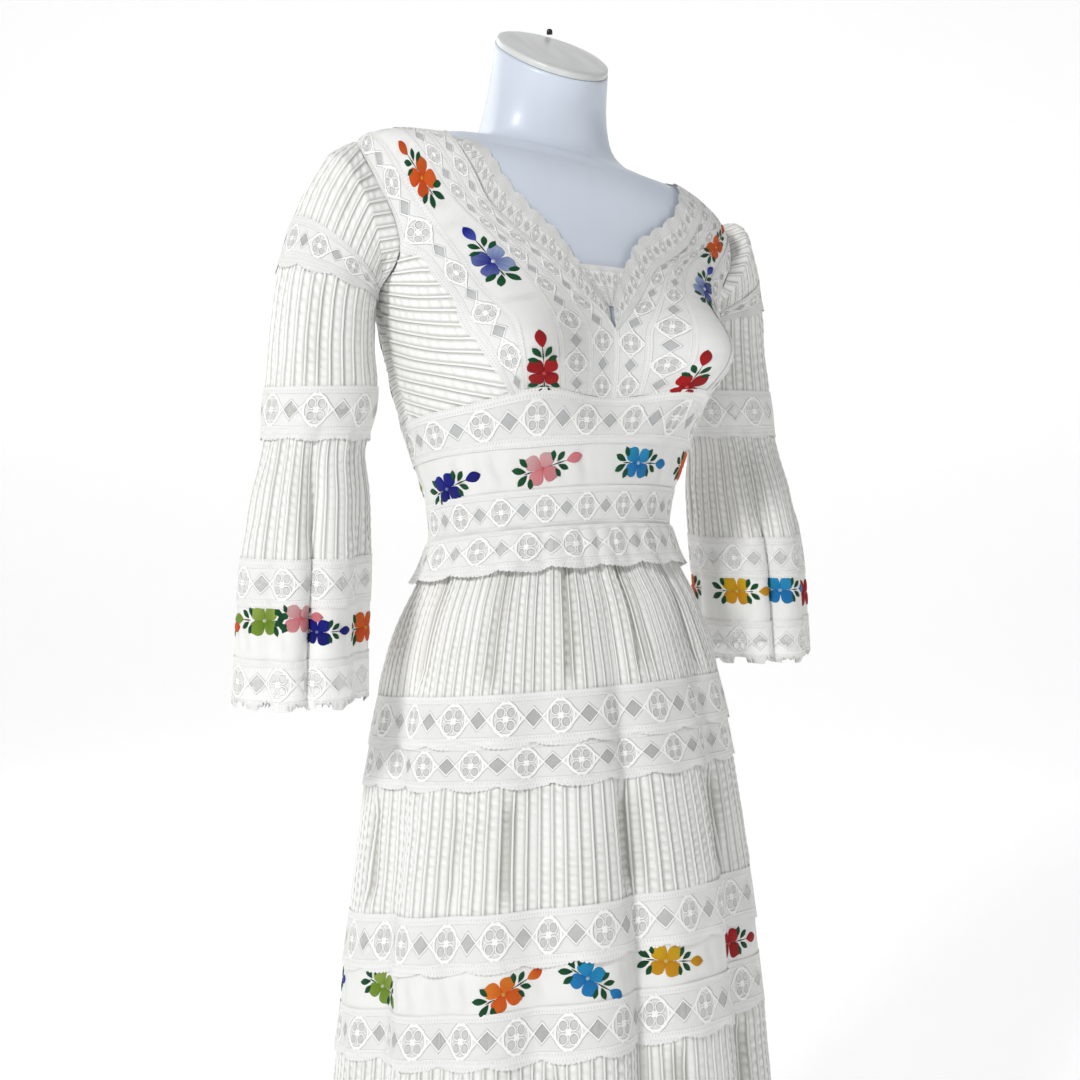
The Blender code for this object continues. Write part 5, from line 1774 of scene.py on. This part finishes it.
@dataclass
class Skirt(Garment):
    """Three tucked tiers with lace rows and an embroidered band between them, and the hem lace."""

    tiers: tuple[Tucks, ...] = (
        Tucks(pitch=0.0084, ridge=0.0013, pucker=0.00090, slow=0.0013, drape=0.0050, drape_pitch=0.026),
        Tucks(pitch=0.0125, ridge=0.0015, pucker=0.00115, row=0.0022, slow=0.0014, drape=0.0055,
              drape_pitch=0.048),
        Tucks(pitch=0.0125, row=0.0034, ridge=0.0015, pucker=0.00110, slow=0.0015, rung=0.011, drape=0.0055,
              drape_pitch=0.055),
    )

    def flowers(self) -> list[Flower]:
        """Motifs of the band: four seen in the photo, and more round it."""
        seen = [Flower(0.510, 0.42, Silk.LIME, turn=25.0), Flower(0.631, 0.56, Silk.GOLD_ORANGE, turn=-25.0),
                Flower(0.6893, 0.42, Silk.AZURE, turn=35.0), Flower(0.7587, 0.38, Silk.YELLOW, turn=10.0),
                Flower(0.850, 0.50, Silk.RED, size=1.05)]
        return filled(seen, 0.088, (Silk.PINK, Silk.BLUE, Silk.ORANGE, Silk.PALE_LIME, Silk.NAVY))

    def build(self) -> None:
        """Every round, from the waist down."""
        seams = TIER_SEAMS
        edge = Lace(lap=(0.0022, -0.0020), lift=(0.0021, 0.0036), edge=SCALLOPED, rows=10, flute=0.0008)
        high = WAIST_SEAM
        above = "form_torso"
        for name, low in seams.items():
            node = {"lace_a": "skirt_lace_a", "lace_b": "skirt_lace_b", "lace_c": "skirt_lace_c",
                    "lace_d": "skirt_lace_d", "band": "skirt_band", "hem": "hem_lace"}.get(name, f"skirt_{name}")
            ripple = 1.0 if name == "tier_1" else 0.0
            strip = skirt_strip(high, low, ripple)
            if name.startswith("tier"):
                self.sew(node, tucked_round(strip, self.tiers[int(name[-1]) - 1]), Finish.TUCKED, [above])
            elif name == "band":
                self.sew(node, plain_sheet(strip), Finish.BAND, [above])
                embroider("flowers_skirt", strip, self.flowers(), node, self.room)
            else:
                self.sew(node, edge.grid(strip), Finish.EDGING, [above])
            high, above = low, node


@dataclass
class Sleeve(Garment):
    """One sleeve: tucked cap, lace, tucked middle, lace at the elbow, tucked bell, lace, embroidered band and cuff.

    Attributes:
        side: 1 for the wearer's left and -1 for the right.
        upper: Tucks of the cap and the middle.
        bell: Tucks of the bell.
    """

    side: int = 1
    upper: Tucks = field(default_factory=lambda: Tucks(pitch=0.0108, slow=0.0018, slant=0.9, pucker=0.00100,
                                                       drape=0.0026, drape_pitch=0.028))
    bell: Tucks = field(default_factory=lambda: Tucks(pitch=0.0096, slow=0.0018, slant=0.9, pucker=0.00095,
                                                      drape=0.0026, drape_pitch=0.034))

    def flowers(self) -> list[Flower]:
        """Motifs of the band: those seen in the photo, and more round it."""
        if self.side < 0:
            seen = [Flower(0.095, 0.26, Silk.LIME, -1, size=0.95), Flower(0.180, 0.20, Silk.PINK, size=0.9),
                    Flower(0.256, 0.46, Silk.NAVY, size=0.8)]
            return filled(seen, 0.17, (Silk.ORANGE, Silk.YELLOW, Silk.AZURE))
        seen = [Flower(0.358, 0.36, Silk.ORANGE), Flower(0.583, 0.32, Silk.YELLOW),
                Flower(0.741, 0.30, Silk.AZURE)]
        return filled(seen, 0.17, (Silk.RED, Silk.PINK, Silk.NAVY))

    def build(self) -> None:
        """Every round, from the armhole down."""
        hand = "left" if self.side > 0 else "right"
        edge = Lace(repeat=0.044, lift=(0.0021, 0.0034), edge=Scallop(0.0036, 0.0014, 10), rows=9)
        narrow = Lace(repeat=0.036, lift=(0.0021, 0.0030), edge=Scallop(0.0030, 0.0012, 9), rows=7)
        high, above = SLEEVE_TOP, f"side_back_{hand}"
        for name, low in SLEEVE_SEAMS.items():
            strip = sleeve_strip(self.side, high, low)
            node = f"sleeve_{name}_{hand}"
            if name in ("cap", "middle"):
                self.sew(node, tucked_round(strip, self.upper), Finish.TUCKED, [above])
            elif name == "bell":
                self.sew(node, tucked_round(strip, self.bell), Finish.TUCKED, [above])
            elif name == "bell_band":
                self.sew(node, plain_sheet(strip), Finish.BAND, [above])
                embroider(f"flowers_sleeve_{hand}", strip, self.flowers(), node, self.room)
            elif name == "bell_lace":
                self.sew(node, Lace(repeat=0.044).grid(strip), Finish.INSERTION, [above])
            else:
                self.sew(node, (narrow if name == "upper_lace" else edge).grid(strip), Finish.EDGING, [above])
            high, above = low, node


@dataclass
class Stage:
    """Floor, soft studio lights and the photo's camera.

    Attributes:
        camera_place: Where the camera stands.
        camera_turn: Its turn about X and about Z, in degrees.
        lens: Focal length in millimetres on a 36 mm sensor.
        shift: Sideways shift that puts the dress where the photo has it.
        paper_glow: Light that the floor's paper gives off, so that it stays white behind the dress.
    """

    camera_place: tuple[float, float, float] = (-0.8086, -1.3458, 1.137)
    camera_turn: tuple[float, float] = (85.57, -31.0)
    lens: float = 51.67
    shift: float = -0.00926
    paper_glow: float = 0.42

    def floor(self) -> None:
        """A pale floor that sweeps up into a wall: z = height * smooth step of the distance behind the dress."""
        along = np.linspace(-6, 6, 3)
        run = np.concatenate([np.linspace(-6, 3, 4), 3 + np.sin(np.linspace(0, math.pi / 2, 13)[1:]) * 1.5,
                              np.array([4.5])])
        rise = np.concatenate([np.zeros(4), 1.5 - np.cos(np.linspace(0, math.pi / 2, 13)[1:]) * 1.5,
                               np.array([6.0])])
        turn = math.radians(self.camera_turn[1])
        x = along[None, :] * math.cos(turn) - run[:, None] * math.sin(turn)
        y = along[None, :] * math.sin(turn) + run[:, None] * math.cos(turn)
        points = np.stack(np.broadcast_arrays(x, y, rise[:, None] - 0.0005), -1)
        paint = Paint("studio_paper", 0.9)
        paint.shader.inputs["Base Color"].default_value = (0.93, 0.93, 0.93, 1.0)
        paint.shader.inputs["Emission Color"].default_value = (1.0, 1.0, 1.0, 1.0)
        paint.shader.inputs["Emission Strength"].default_value = self.paper_glow
        uv = np.zeros((*points.shape[:2], 2))
        mesh_object("studio_floor", [Grid(points, uv, False, -1.0)], paint.material)

    def light(self, name: str, place: tuple[float, float, float], size: float, power: float) -> None:
        """One soft square light aimed at the bodice."""
        data = bpy.data.lights.new(name, "AREA")
        data.shape, data.size, data.energy = "SQUARE", size, power
        lamp = bpy.data.objects.new(name, data)
        lamp.location = place
        aim = np.array((0.0, 0.0, 1.0)) - np.array(place)
        tip, turn = math.atan2(math.hypot(aim[0], aim[1]), -aim[2]), math.atan2(-aim[0], aim[1])
        lamp.rotation_euler = (tip, 0.0, turn)
        bpy.context.scene.collection.objects.link(lamp)

    def camera(self) -> None:
        """The camera at the photo's angle."""
        data = bpy.data.cameras.new("photo_camera")
        data.lens, data.sensor_width, data.shift_x = self.lens, 36.0, self.shift
        camera = bpy.data.objects.new("photo_camera", data)
        camera.location = self.camera_place
        camera.rotation_euler = (math.radians(self.camera_turn[0]), 0.0, math.radians(self.camera_turn[1]))
        bpy.context.scene.collection.objects.link(camera)
        bpy.context.scene.camera = camera

    def build(self) -> None:
        """The floor, the lights, the world and the camera."""
        self.floor()
        self.light("key_light", (-2.6, -1.3, 2.7), 0.5, 62.0)
        self.light("fill_light", (1.9, -2.3, 1.8), 1.8, 8.0)
        self.light("back_light", (-0.6, 2.2, 2.4), 1.6, 14.0)
        world = bpy.context.scene.world or bpy.data.worlds.new("studio")
        bpy.context.scene.world = world
        world.use_nodes = True
        world.node_tree.nodes["Background"].inputs["Color"].default_value = (1.0, 1.0, 1.0, 1.0)
        world.node_tree.nodes["Background"].inputs["Strength"].default_value = 0.31
        bpy.context.scene.view_settings.view_transform = "Standard"
        self.camera()


def main() -> None:
    """Build the form, the dress and the studio."""
    logging.basicConfig(level=logging.INFO, format="%(name)s: %(message)s")
    LOG.info("nodes: %s", type(frame).__name__)
    room = Workroom()
    DressForm(room).build()
    Bodice(room).build()
    Waist(room).build()
    Skirt(room).build()
    for side in (1, -1):
        Sleeve(room, side=side).build()
    Stage().build()


if __name__ == "__main__":
    main()
